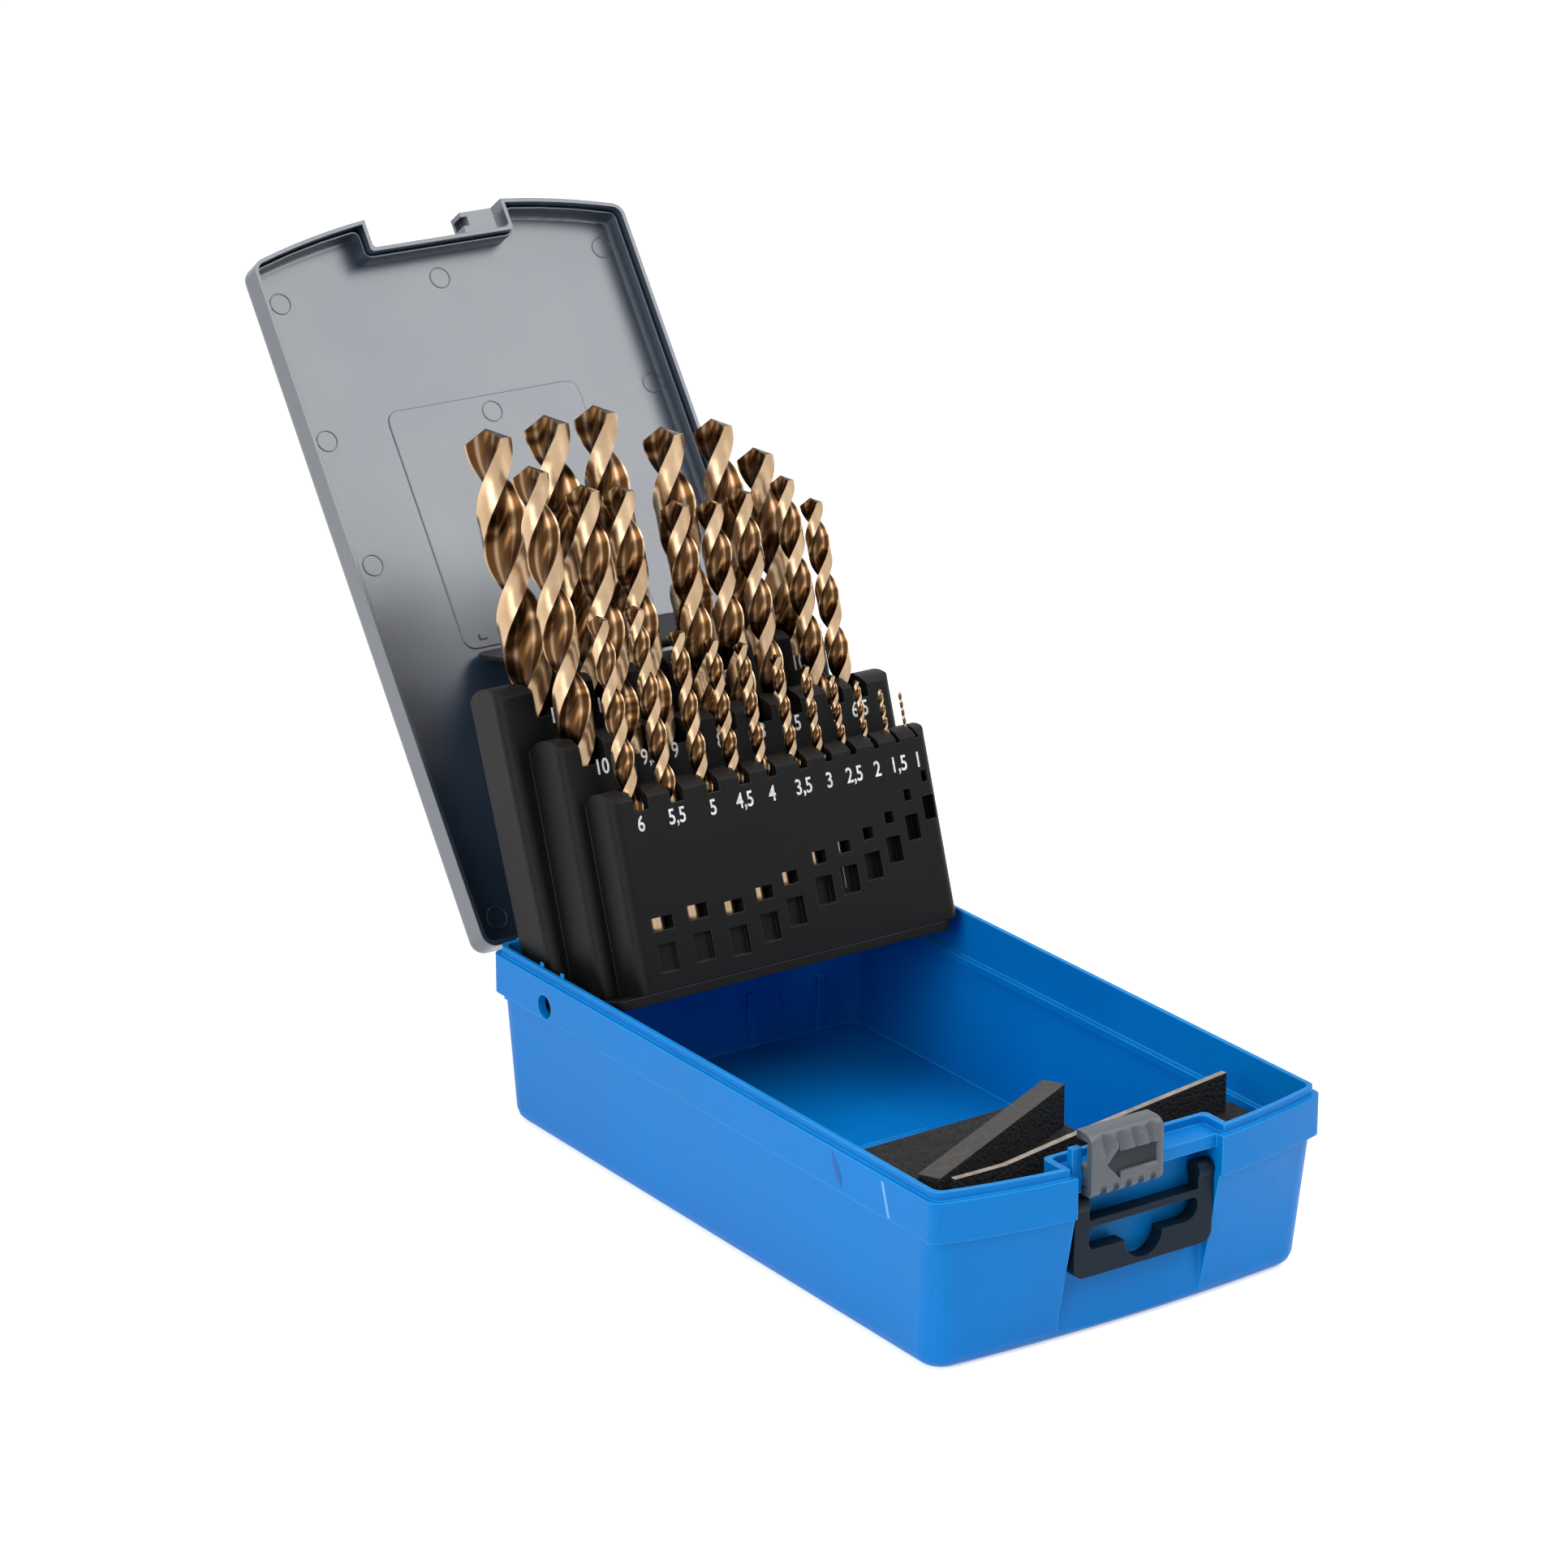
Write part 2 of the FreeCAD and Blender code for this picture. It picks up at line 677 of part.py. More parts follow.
def all_drills():
    """Every drill of the three rows."""
    middle_depth = row_pitch_front
    rear_depth = middle_depth + row_pitch_rear
    left = -holder_half_width
    front = row_drills(left + 2 * side_step, front_counts, front_wall_shares, front_end_shares, 0, holder_front,
                       front_top)
    middle = row_drills(left + side_step, middle_counts, middle_wall_shares, middle_end_shares, middle_depth,
                        step_one, middle_top)
    rear = row_drills(left, rear_counts, rear_wall_shares, rear_end_shares, rear_depth, step_two, rear_top)
    return front + middle + rear


def drill_bores():
    """Blind bores for the drills, with the slots that open the domed top towards the front."""
    cuts = []
    for count, x, depth, shank_end, face, top in all_drills():
        radius = count * smallest_radius / 2 + bore_gap
        bottom = shank_end - bore_gap
        cuts.append(Part.makeCylinder(radius, top + overrun - bottom, FreeCAD.Vector(x, depth, bottom), unit_z))
        slot = radius * slot_share
        cuts.append(box(x - slot, x + slot, face - overrun, depth, top - dome_height - radius, top + overrun))
    return cuts


def sight_windows():
    """Two openings in front of each drill of the front row: a shallow one below and a deep one above."""
    cuts = []
    for drill, edge_shares in zip(all_drills(), window_edge_shares):
        count, x = drill[:2]
        radius = count * smallest_radius / 2
        low, low_end, high, high_end = [share * front_top for share in edge_shares]
        half = min(window_width, window_width / 2 + radius * 2) / 2
        cuts.append(box(x - half, x + half, holder_front - overrun, -radius - bore_gap - window_back_wall,
                        low, low_end))
        half = radius + window_side_gap
        cuts.append(box(x - half, x + half, holder_front - overrun, 0, high, high_end))
    return cuts


def pin_bosses():
    """Bosses at both ends of the holder that take the pivot pins."""
    bosses = []
    for side in (-1, 1):
        x_low = min(side * boss_face, side * (boss_face - boss_length))
        boss = Part.makeCylinder(boss_radius, boss_length, FreeCAD.Vector(x_low, pin_depth, 0), unit_x)
        bosses.append(boss)
    return bosses


def flap_lugs():
    """The two lugs on the rear step that hold the flap's pin."""
    lugs = []
    for x_low in (flap_left - flap_lug_gap - flap_lug_width, flap_right + flap_lug_gap):
        lugs.append(
            box(x_low, x_low + flap_lug_width, flap_axis_depth - flap_barrel_radius * 2,
                flap_axis_depth + flap_barrel_radius / 2, rear_top - 2 * dome_height, flap_axis_height)
        )
        lugs.append(
            Part.makeCylinder(flap_barrel_radius, flap_lug_width,
                              FreeCAD.Vector(x_low, flap_axis_depth, flap_axis_height), unit_x)
        )
    return lugs


def drill_holder():
    """The stepped block with its bores, slots, windows and pin bosses."""
    left = -holder_half_width
    front_left = left + 2 * side_step
    middle_left = left + side_step
    front = step_block(front_left, front_left + front_width, holder_front, step_one, front_top)
    middle = step_block(middle_left, middle_left + middle_width, step_one, step_two, middle_top)
    steps = [soften_step(front, holder_front), soften_step(middle, step_one),
             soften_step(flared_step(), step_two)]
    flat = box(left - overrun, holder_half_width + overrun, holder_front - overrun, holder_back + overrun,
               -boss_radius - overrun, foot_gap)
    block = steps[0].fuse(steps[1:] + pin_bosses() + flap_lugs())
    reach = collar_half_width
    pins = Part.makeCylinder(pin_radius + pin_fit, 2 * reach, FreeCAD.Vector(-reach, pin_depth, 0), unit_x)
    pins = pins.cut(box(-inner_pin_end, inner_pin_end, 0, holder_back, -pin_depth, pin_depth))
    wire = Part.makeCylinder(flap_pin_radius + flap_pin_fit, 2 * reach,
                             FreeCAD.Vector(-reach, flap_axis_depth, flap_axis_height), unit_x)
    cuts = drill_bores() + sight_windows() + [flat, pins, wire]
    return place_holder(block.cut(cuts).removeSplitter())


def holder_foot():
    """The plate under the block, cut clear of the bosses and their pins."""
    half = holder_half_width - foot_inset
    plate = rounded_box(-half, half, holder_front, holder_back, -foot_thickness, -foot_gap, foot_corner)
    reach = collar_half_width
    clear = Part.makeCylinder(boss_radius + pin_fit, 2 * reach, FreeCAD.Vector(-reach, pin_depth, 0), unit_x)
    inner = boss_face - boss_length - bore_gap
    clear = clear.cut(box(-inner, inner, 0, holder_back, -pin_depth, pin_depth))
    return place_holder(plate.cut(clear))


def pivot_pin(side):
    """A stub pin whose outer end rests on a side ledge."""
    outer = rim_face - pin_side_gap
    x_low = min(side * outer, side * (outer - pin_length))
    return rod(pin_radius, x_low, x_low + pin_length, pin_rest_y, pin_z)


def flap_rest_angle():
    """Turn of the flap from the holder's height direction until its free end nears the open lid."""
    place_y, place_z = holder_place()
    tilt = math.radians(holder_tilt)
    axis_y = place_y + flap_axis_depth * math.cos(tilt) + flap_axis_height * math.sin(tilt)
    axis_z = place_z - flap_axis_depth * math.sin(tilt) + flap_axis_height * math.cos(tilt)
    lean = math.radians(lid_open_angle - 90)
    height = (axis_y - hinge_y) * math.cos(lean) - (axis_z - hinge_z) * math.sin(lean)
    distance = lid_inside - hinge_z - height - flap_lid_gap
    reach = math.hypot(flap_length, flap_thickness / 2)
    swing = math.atan2(flap_thickness / 2, flap_length) + math.acos(min(1, distance / reach))
    return 90 - holder_tilt + math.degrees(lean - swing)


def lift_flap():
    """The flap that the lid lifts: hinge barrel and thin plate with two rounded corners."""
    barrel = Part.makeCylinder(flap_barrel_radius, flap_right - flap_left,
                               FreeCAD.Vector(flap_left, 0, 0), unit_x)
    plate = box(flap_left, flap_right, 0, flap_length, -flap_thickness / 2, flap_thickness / 2)
    far = [edge for edge in plate.Edges
           if abs(edge.tangentAt(0).z) > 0.5 and edge.BoundBox.YMin > flap_length / 2]
    plate = plate.makeFillet(flap_corner, far)
    flap = barrel.fuse(plate)
    flap = flap.cut(Part.makeCylinder(flap_pin_radius + flap_pin_fit, flap_right - flap_left,
                                      FreeCAD.Vector(flap_left, 0, 0), unit_x))
    flap.rotate(origin, unit_x, 90 - flap_rest_angle())
    flap.translate(FreeCAD.Vector(0, flap_axis_depth, flap_axis_height))
    return place_holder(flap)


def lift_flap_pin():
    """The wire pin of the flap."""
    left = flap_left - flap_lug_gap - flap_lug_width
    length = flap_right - flap_left + 2 * (flap_lug_gap + flap_lug_width)
    pin = Part.makeCylinder(flap_pin_radius, length,
                            FreeCAD.Vector(left, flap_axis_depth, flap_axis_height), unit_x)
    return place_holder(pin)


def slider_block():
    """The slider's outer block: round top front edge and rounded front corners."""
    block = box(slider_left, slider_left + slider_length, slider_front, slider_back, slider_bottom, slider_top)
    upper = [edge for edge in block.Edges
             if abs(edge.tangentAt(0).x) > 0.5 and edge.BoundBox.YMax < slider_back - slider_wall
             and edge.BoundBox.ZMin > slider_bottom + slider_wall]
    block = block.makeFillet(slider_round, upper)
    for low in (True, False):
        corners = [edge for edge in block.Edges
                   if edge.BoundBox.YLength > slider_back - slider_front - slider_round * 2
                   and abs(edge.tangentAt(edge.FirstParameter).y) > 0.9
                   and (edge.BoundBox.ZMax < slider_bottom + slider_wall) == low
                   and edge.BoundBox.XMin > slider_left + slider_wall]
        block = block.makeFillet(slider_corner, corners[:1])
    return block


def latch_slider():
    """The grey latch: a C-shaped clip with a hook under the shelf and scoops in the top front edge."""
    right = slider_left + slider_length
    hollow = box(slider_left - overrun, right + overrun, slider_front + slider_wall, slider_back + overrun,
                 slider_bottom + slider_wall, slider_top - slider_wall)
    hook_low = shelf_front + shelf_lip_wall + slider_gap
    guide_top = shoulder_height + slider_gap + slider_guide_height
    inner_face = slider_front + slider_wall / 2
    inside = right - slider_corner
    hook = box(slider_left, inside, hook_low, hook_low + slider_hook_wall, slider_bottom,
               shoulder_height - shelf_thickness - slider_gap)
    rest = box(slider_left, right, inner_face, shelf_front + shelf_lip_wall, shoulder_height + slider_gap,
               guide_top)
    guide = box(slider_left, right, inner_face, shelf_front - slider_gap, lip_bottom, guide_top)
    floor = box(slider_left, inside, inner_face, hook_low + slider_hook_wall, slider_bottom,
                lip_bottom - slider_gap)
    slider = slider_block().cut(hollow).fuse([hook, rest, guide, floor])
    scoops = []
    pitch = slider_length / (slider_grip_count + 1)
    for number in range(slider_grip_count):
        x = slider_left + pitch * (number + 1)
        start = FreeCAD.Vector(x, slider_front - slider_grip_low_radius, slider_top - slider_grip_length)
        lean = FreeCAD.Vector(0, slider_grip_bite, slider_grip_length)
        scoops.append(
            Part.makeCone(slider_grip_low_radius, slider_grip_top_radius, slider_grip_length * slider_grip_reach_share,
                          start, lean)
        )
    return slider.cut(scoops).removeSplitter()


def handle_window():
    """The handle's window: three small corners and a wide sweep at the lower right."""
    window = box(handle_left + handle_arm, handle_right - handle_arm, handle_front - overrun,
                 handle_rear + overrun, handle_window_low, handle_window_top)
    along = [edge for edge in window.Edges if abs(edge.tangentAt(0).y) > 0.5]
    window = window.makeFillet(handle_window_sweep, [edge for edge in along if at_sweep(edge)])
    small = [edge for edge in window.Edges
             if abs(edge.tangentAt(edge.FirstParameter).y) > 0.9 and not at_sweep(edge)]
    return window.makeFillet(handle_window_round, small)


def at_sweep(edge):
    """Whether an edge lies at the lower right of the handle's window."""
    middle = (handle_window_low + handle_window_top) / 2
    return edge.BoundBox.XMin > handle_notch_x and edge.BoundBox.ZMax < middle


def handle_plate():
    """The flat bail with its two openings, before the ears."""
    low = handle_axis_z - handle_length
    plate = box(handle_left, handle_right, handle_front, handle_rear, low, handle_axis_z)
    corners = [edge for edge in plate.Edges
               if abs(edge.tangentAt(0).y) > 0.5 and edge.BoundBox.ZMax < handle_window_low]
    plate = plate.makeFillet(handle_corner, corners)
    front = handle_front - overrun
    rear = handle_rear + overrun
    upper = box(handle_left + handle_arm, handle_right - handle_arm, front, rear, handle_bar_top,
                handle_axis_z + overrun)
    notch = Part.makeCylinder(handle_notch_radius, rear - front,
                              FreeCAD.Vector(handle_notch_x, front, handle_window_low), unit_y)
    headroom = box(handle_left, handle_right, front, rear, handle_window_top, handle_axis_z + overrun)
    return plate.cut([upper, handle_window(), notch.cut(headroom)])


def carry_handle():
    """The bail with its ears and the two trunnions that it swings on."""
    ears = []
    for x_low in (handle_left, handle_right - handle_arm):
        ears.append(rod(handle_ear_radius, x_low, x_low + handle_arm, handle_axis_y, handle_axis_z))
    trunnion = rod(trunnion_radius, recess_left - trunnion_length, recess_right + trunnion_length,
                   handle_axis_y, handle_axis_z)
    gap = box(handle_left + handle_arm, handle_right - handle_arm, handle_front - overrun,
              handle_rear + overrun, handle_bar_top, handle_axis_z + overrun)
    return handle_plate().fuse(ears + [trunnion.cut(gap)]).removeSplitter()


def fin_solid(points, wall, low, high):
    """An upright wall that follows a line in plan, measured at its rear face."""
    walls = []
    for start, end in zip(points, points[1:]):
        run = FreeCAD.Vector(end[0] - start[0], end[1] - start[1], 0)
        run.normalize()
        side = FreeCAD.Vector(run.y, -run.x, 0) * wall
        a = FreeCAD.Vector(start[0], start[1], low)
        b = FreeCAD.Vector(end[0], end[1], low)
        walls.append(Part.Face(Part.makePolygon([a, b, b + side, a + side, a])).extrude(unit_z * (high - low)))
    for x, y in points[1:-1]:
        walls.append(Part.makeCylinder(wall / 2, high - low, FreeCAD.Vector(x, y - wall / 2, low)))
    solid = walls[0]
    for wall_piece in walls[1:]:
        solid = solid.fuse(wall_piece)
    return solid.removeSplitter()


def thick_fin_points(extra):
    """Line of the thick fin's rear face in plan, made longer and wider by a gap."""
    left = thick_fin_left_share * collar_half_width - extra
    right = thick_fin_right_share * collar_half_width + extra
    near = collar_crest + extra
    return [(left, near + thick_fin_left_back), (right, near + thick_fin_right_back)]


def thin_fin_points(extra):
    """Line of the thin fin's rear face in plan, made longer and wider by a gap."""
    points = []
    for x_share, back_share in zip(thin_fin_x_shares, thin_fin_back_shares):
        x = x_share * collar_half_width
        points.append((x + math.copysign(extra, x), collar_crest + back_share * thin_fin_reach + extra))
    return points


def front_insert():
    """The plate on the side ledges, with slots for the two fins and a leg down to the floor."""
    low = ledge_height
    inner = rim_inset + rim_wall + insert_gap
    plan = slab(collar_outline(inner, collar_corner, low), insert_thickness)
    plan = plan.cut(recess_shape(recess_lip + rim_wall + insert_gap, recess_wall + insert_gap,
                                 low - overrun, low + overrun, recess_lip))
    notch_x = insert_notch_x_share * collar_half_width
    right = insert_right_share * collar_half_width
    step_y = collar_crest + insert_notch_back
    outer = -collar_half_width
    corners = [
        (outer, collar_crest + insert_back_left), (notch_x, collar_crest + insert_back_right),
        (notch_x, step_y), (right, step_y), (right, collar_crest - overrun), (outer, collar_crest - overrun),
    ]
    border = Part.makePolygon([FreeCAD.Vector(x, y, low) for x, y in corners + corners[:1]])
    plate = plan.common(Part.Face(border).extrude(unit_z * insert_thickness))
    leg = box(right - insert_leg, right, step_y - insert_leg, step_y, floor_thickness + insert_gap, low)
    half_way = low + insert_thickness / 2
    slots = [
        fin_solid(thick_fin_points(slot_gap), thick_fin_wall + 2 * slot_gap, half_way, low + overrun),
        fin_solid(thin_fin_points(slot_gap), thin_fin_wall + 2 * slot_gap, half_way, low + overrun),
    ]
    return plate.fuse(leg).cut(slots).removeSplitter()


def insert_fin(points, wall, rise):
    """A fin, standing in its slot."""
    return fin_solid(points, wall, ledge_height + insert_thickness / 2 + slot_gap, rim_top + rise)


def drill_section(radius, turn, z):
    """One cross-section of the fluted end: two lands and two flutes."""
    points = []
    for half_turn in (0, 180):
        for angle, share in ((0, drill_margin_share), (62, drill_margin_share), (98, drill_core_share)):
            direction = math.radians(angle + half_turn + turn)
            reach = radius * share
            points.append(FreeCAD.Vector(reach * math.cos(direction), reach * math.sin(direction), z))
    return points


def skin(rings, tip_height):
    """A solid with flat facets over rings of points, closed by a point at the tip."""
    count = len(rings[0])
    faces = [Part.Face(Part.makePolygon(list(reversed(rings[0])) + [rings[0][-1]]))]
    for lower, upper in zip(rings, rings[1:]):
        for number in range(count):
            following = (number + 1) % count
            corners = (lower[number], lower[following], upper[following], upper[number])
            for triangle in (corners[:3], (corners[0], corners[2], corners[3])):
                faces.append(Part.Face(Part.makePolygon(list(triangle) + [triangle[0]])))
    tip = FreeCAD.Vector(0, 0, tip_height)
    for number in range(count):
        following = (number + 1) % count
        last = rings[-1]
        faces.append(Part.Face(Part.makePolygon([last[number], last[following], tip, last[number]])))
    return Part.makeSolid(Part.makeShell(faces))


def twist_drill(count, x, depth, shank_end):
    """A twist drill: round shank below, twisted flutes and a cone point above."""
    size = count * smallest_radius
    length_share, flute_share = jobber_shares[count]
    length = length_share * longest_drill
    flute = flute_share * longest_flute
    radius = size / 2
    point = radius / math.tan(math.radians(drill_point_angle / 2))
    shank_length = length - flute
    turns = (flute - point) / (size * drill_pitch_share) * 360
    steps = max(3, round(turns / drill_step_angle))
    rings = []
    for number in range(steps + 1):
        height = shank_length + (flute - point) * number / steps
        rings.append(drill_section(radius, turns * number / steps, height))
    drill = Part.makeCylinder(radius, shank_length, origin, unit_z).fuse(skin(rings, length))
    drill.translate(FreeCAD.Vector(x, depth, shank_end))
    return place_holder(drill)


def drill_name(count):
    """Node name of a drill, such as drill_5_5, from its count of half millimetres."""
    return "drill_{}_{}".format(count // 2, count % 2 * 5)


def build():
    """Make every sub-part under its node's name."""
    parts = {
        "base_box": base_box(),
        "lid": lid_turn(lid_closed()),
        "hinge_pin_left": hinge_pin(-station_centre),
        "hinge_pin_right": hinge_pin(station_centre),
        "latch_slider": latch_slider(),
        "carry_handle": carry_handle(),
        "pivot_pin_left": pivot_pin(-1),
        "pivot_pin_right": pivot_pin(1),
        "drill_holder": drill_holder(),
        "holder_foot": holder_foot(),
        "lift_flap": lift_flap(),
        "lift_flap_pin": lift_flap_pin(),
        "front_insert": front_insert(),
        "insert_fin_thick": insert_fin(thick_fin_points(0), thick_fin_wall, thick_fin_rise),
        "insert_fin_thin": insert_fin(thin_fin_points(0), thin_fin_wall, thin_fin_rise),
    }
    for count, x, depth, shank_end, _, _ in all_drills():
        parts[drill_name(count)] = twist_drill(count, x, depth, shank_end)
    return parts


os.makedirs("parts", exist_ok=True)
for name, shape in build().items():
    shape.exportStep("parts/{}.step".format(name))
    bounds = shape.BoundBox
    print(name, "solids", len(shape.Solids), "valid", shape.isValid(), "volume", round(shape.Volume, 1),
          "x", round(bounds.XMin, 2), round(bounds.XMax, 2), "y", round(bounds.YMin, 2), round(bounds.YMax, 2),
          "z", round(bounds.ZMin, 2), round(bounds.ZMax, 2))
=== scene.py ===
import bpy
import json
import math
from mathutils import Euler, Matrix, Vector


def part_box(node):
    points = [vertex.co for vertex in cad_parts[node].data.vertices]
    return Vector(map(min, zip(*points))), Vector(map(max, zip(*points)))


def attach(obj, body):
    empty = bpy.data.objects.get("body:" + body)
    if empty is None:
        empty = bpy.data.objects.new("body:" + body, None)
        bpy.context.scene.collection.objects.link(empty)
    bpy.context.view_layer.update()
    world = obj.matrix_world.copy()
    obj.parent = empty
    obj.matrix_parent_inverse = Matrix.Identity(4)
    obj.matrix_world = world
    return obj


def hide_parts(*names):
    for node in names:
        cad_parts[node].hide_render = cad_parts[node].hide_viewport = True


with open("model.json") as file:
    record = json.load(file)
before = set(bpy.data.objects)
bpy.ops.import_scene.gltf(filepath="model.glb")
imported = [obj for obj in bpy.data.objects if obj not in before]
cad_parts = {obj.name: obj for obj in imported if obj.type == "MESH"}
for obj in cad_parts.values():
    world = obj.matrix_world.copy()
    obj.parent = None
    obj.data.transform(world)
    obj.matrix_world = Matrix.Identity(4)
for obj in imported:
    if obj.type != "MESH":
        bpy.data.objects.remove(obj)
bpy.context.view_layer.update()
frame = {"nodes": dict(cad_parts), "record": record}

print("stage: frame loaded")

# lengths are in metres and angles in degrees, except in the drill table
holder = {"tilt": 18.13, "pinY": 0.0738, "pinZ": 0.0397, "pinDepth": 0.0246}
caseShape = {"bow": 0.214, "hingeY": 0.10137, "hingeZ": 0.0463, "openAngle": 125.3}
smoothAngle = 32


def deselectAll():
    if bpy.context.object and bpy.context.object.mode != "OBJECT":
        bpy.ops.object.mode_set(mode="OBJECT")
    bpy.ops.object.select_all(action="DESELECT")


def pick(piece):
    deselectAll()
    piece.select_set(True)
    bpy.context.view_layer.objects.active = piece


def bakePlace(piece):
    pick(piece)
    bpy.ops.object.transform_apply(location=True, rotation=True, scale=True)


def applyModifiers(piece):
    pick(piece)
    for modifier in list(piece.modifiers):
        bpy.ops.object.modifier_apply(modifier=modifier.name)


def softenEdges(piece, width, segments):
    bevel = piece.modifiers.new("softEdges", "BEVEL")
    bevel.width = width
    bevel.segments = segments
    bevel.limit_method = "ANGLE"
    applyModifiers(piece)


def carve(piece, operation, cutter):
    boolean = piece.modifiers.new("carve", "BOOLEAN")
    boolean.operation = operation
    boolean.solver = "EXACT"
    boolean.object = cutter
    applyModifiers(piece)
    bpy.data.objects.remove(cutter)


def traceOutline(points, filled):
    # a closed line through the points, or the flat face inside it
    deselectAll()
    bpy.ops.mesh.primitive_circle_add(vertices=len(points), fill_type="NGON" if filled else "NOTHING")
    piece = bpy.context.object
    for vertex, place in zip(piece.data.vertices, points):
        vertex.co = place
    return piece


def raiseOutline(selectBy, rise):
    # draws the active outline out into walls, or its face into a solid
    bpy.ops.object.mode_set(mode="EDIT")
    bpy.ops.mesh.select_mode(type=selectBy)
    bpy.ops.mesh.select_all(action="SELECT")
    bpy.ops.mesh.extrude_region_move(TRANSFORM_OT_translate={"value": rise})
    bpy.ops.mesh.select_all(action="SELECT")
    bpy.ops.mesh.normals_make_consistent(inside=False)
    bpy.ops.object.mode_set(mode="OBJECT")


def joinPieces(pieces, name):
    deselectAll()
    for piece in pieces:
        piece.select_set(True)
    bpy.context.view_layer.objects.active = pieces[0]
    bpy.ops.object.join()
    pieces[0].name = name
    return pieces[0]


def leanToHolder(piece):
    # from the holder's own frame (depth along Y, drills along Z) to its raised place
    lean = Matrix.Rotation(math.radians(-holder["tilt"]), 4, "X")
    raised = Matrix.Translation((0, holder["pinY"], holder["pinZ"]))
    fromPins = Matrix.Translation((0, -holder["pinDepth"], 0))
    piece.matrix_world = raised @ lean @ fromPins @ piece.matrix_world
    bakePlace(piece)


def openWithLid(piece):
    # from the closed lid's place to the open one
    turn = Matrix.Rotation(math.radians(-caseShape["openAngle"]), 4, "X")
    hinge = Vector((0, caseShape["hingeY"], caseShape["hingeZ"]))
    piece.matrix_world = Matrix.Translation(hinge) @ turn @ Matrix.Translation(-hinge) @ piece.matrix_world
    bakePlace(piece)


def finishPiece(piece, material, body, angle=smoothAngle):
    piece.data.materials.clear()
    piece.data.materials.append(material)
    pick(piece)
    bpy.ops.object.shade_smooth_by_angle(angle=math.radians(angle))
    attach(piece, body)


# shared node groups

edgeLook = {"radius": 0.0004, "gain": 3.0, "samples": 6}
grainLook = {"fine": 2600.0, "slow": 28.0, "fineDetail": 3.0, "fineRoughness": 0.6, "slowDetail": 4.0,
             "middle": (0.3, 0.7)}  # most of the noise lies in this range


def newGroup(name, inputs, outputs):
    group = bpy.data.node_groups.new(name, "ShaderNodeTree")
    for socket, kind, value in inputs:
        made = group.interface.new_socket(socket, in_out="INPUT", socket_type=kind)
        if value is not None:
            made.default_value = value
    for socket, kind in outputs:
        group.interface.new_socket(socket, in_out="OUTPUT", socket_type=kind)
    return group, group.nodes.new("NodeGroupInput"), group.nodes.new("NodeGroupOutput")


def setSockets(node, values):
    for socket, value in values.items():
        node.inputs[socket].default_value = value


def mathNode(nodes, links, operation, first, second, clamp=False):
    # each side is a number or another node's output
    node = nodes.new("ShaderNodeMath")
    node.operation = operation
    node.use_clamp = clamp
    for value, socket in zip((first, second), node.inputs):
        if isinstance(value, float):
            socket.default_value = value
        else:
            links.new(value, socket)
    return node.outputs[0]


def rangeNode(nodes, links, source, low, high, outLow, outHigh):
    node = nodes.new("ShaderNodeMapRange")
    links.new(source, node.inputs["Value"])
    setSockets(node, {"From Min": low, "From Max": high, "To Min": outLow, "To Max": outHigh})
    return node.outputs["Result"]


def mixColour(nodes, links, factor, first, second):
    # each side is a colour or another node's output
    mix = nodes.new("ShaderNodeMix")
    mix.data_type = "RGBA"
    links.new(factor, mix.inputs["Factor"])
    for value, socket in ((first, mix.inputs["A"]), (second, mix.inputs["B"])):
        if isinstance(value, tuple):
            socket.default_value = (*value, 1.0)
        else:
            links.new(value, socket)
    return mix.outputs["Result"]


def buildEdgeGroup():
    # rounded edges for the light, and a mask along them for rub marks and painted edge highlights
    group, given, out = newGroup(
        "roundedEdges",
        [("Radius", "NodeSocketFloat", edgeLook["radius"]), ("Gain", "NodeSocketFloat", edgeLook["gain"])],
        [("Normal", "NodeSocketVector"), ("Edge", "NodeSocketFloat")],
    )
    nodes, links = group.nodes, group.links
    bevel = nodes.new("ShaderNodeBevel")
    bevel.samples = edgeLook["samples"]
    links.new(given.outputs["Radius"], bevel.inputs["Radius"])
    plain = nodes.new("ShaderNodeNewGeometry")
    dot = nodes.new("ShaderNodeVectorMath")
    dot.operation = "DOT_PRODUCT"
    links.new(bevel.outputs["Normal"], dot.inputs[0])
    links.new(plain.outputs["Normal"], dot.inputs[1])
    turned = mathNode(nodes, links, "SUBTRACT", 1.0, dot.outputs["Value"])
    mask = mathNode(nodes, links, "MULTIPLY", turned, given.outputs["Gain"], clamp=True)
    links.new(bevel.outputs["Normal"], out.inputs["Normal"])
    links.new(mask, out.inputs["Edge"])
    return group


def buildGrainGroup():
    # moulded grain: fine height, and slow patches for colour and gloss
    group, given, out = newGroup(
        "mouldedGrain",
        [("Vector", "NodeSocketVector", None), ("Fine", "NodeSocketFloat", grainLook["fine"]),
         ("Slow", "NodeSocketFloat", grainLook["slow"])],
        [("Height", "NodeSocketFloat"), ("Patch", "NodeSocketFloat")],
    )
    nodes, links = group.nodes, group.links
    fine = nodes.new("ShaderNodeTexNoise")
    setSockets(fine, {"Detail": grainLook["fineDetail"], "Roughness": grainLook["fineRoughness"]})
    links.new(given.outputs["Vector"], fine.inputs["Vector"])
    links.new(given.outputs["Fine"], fine.inputs["Scale"])
    slow = nodes.new("ShaderNodeTexNoise")
    setSockets(slow, {"Detail": grainLook["slowDetail"]})
    links.new(given.outputs["Vector"], slow.inputs["Vector"])
    links.new(given.outputs["Slow"], slow.inputs["Scale"])
    links.new(fine.outputs["Fac"], out.inputs["Height"])
    links.new(slow.outputs["Fac"], out.inputs["Patch"])
    return group


groups = {"edge": buildEdgeGroup(), "grain": buildGrainGroup()}


def placeGroup(nodes, key, values):
    node = nodes.new("ShaderNodeGroup")
    node.node_tree = groups[key]
    setSockets(node, values)
    return node


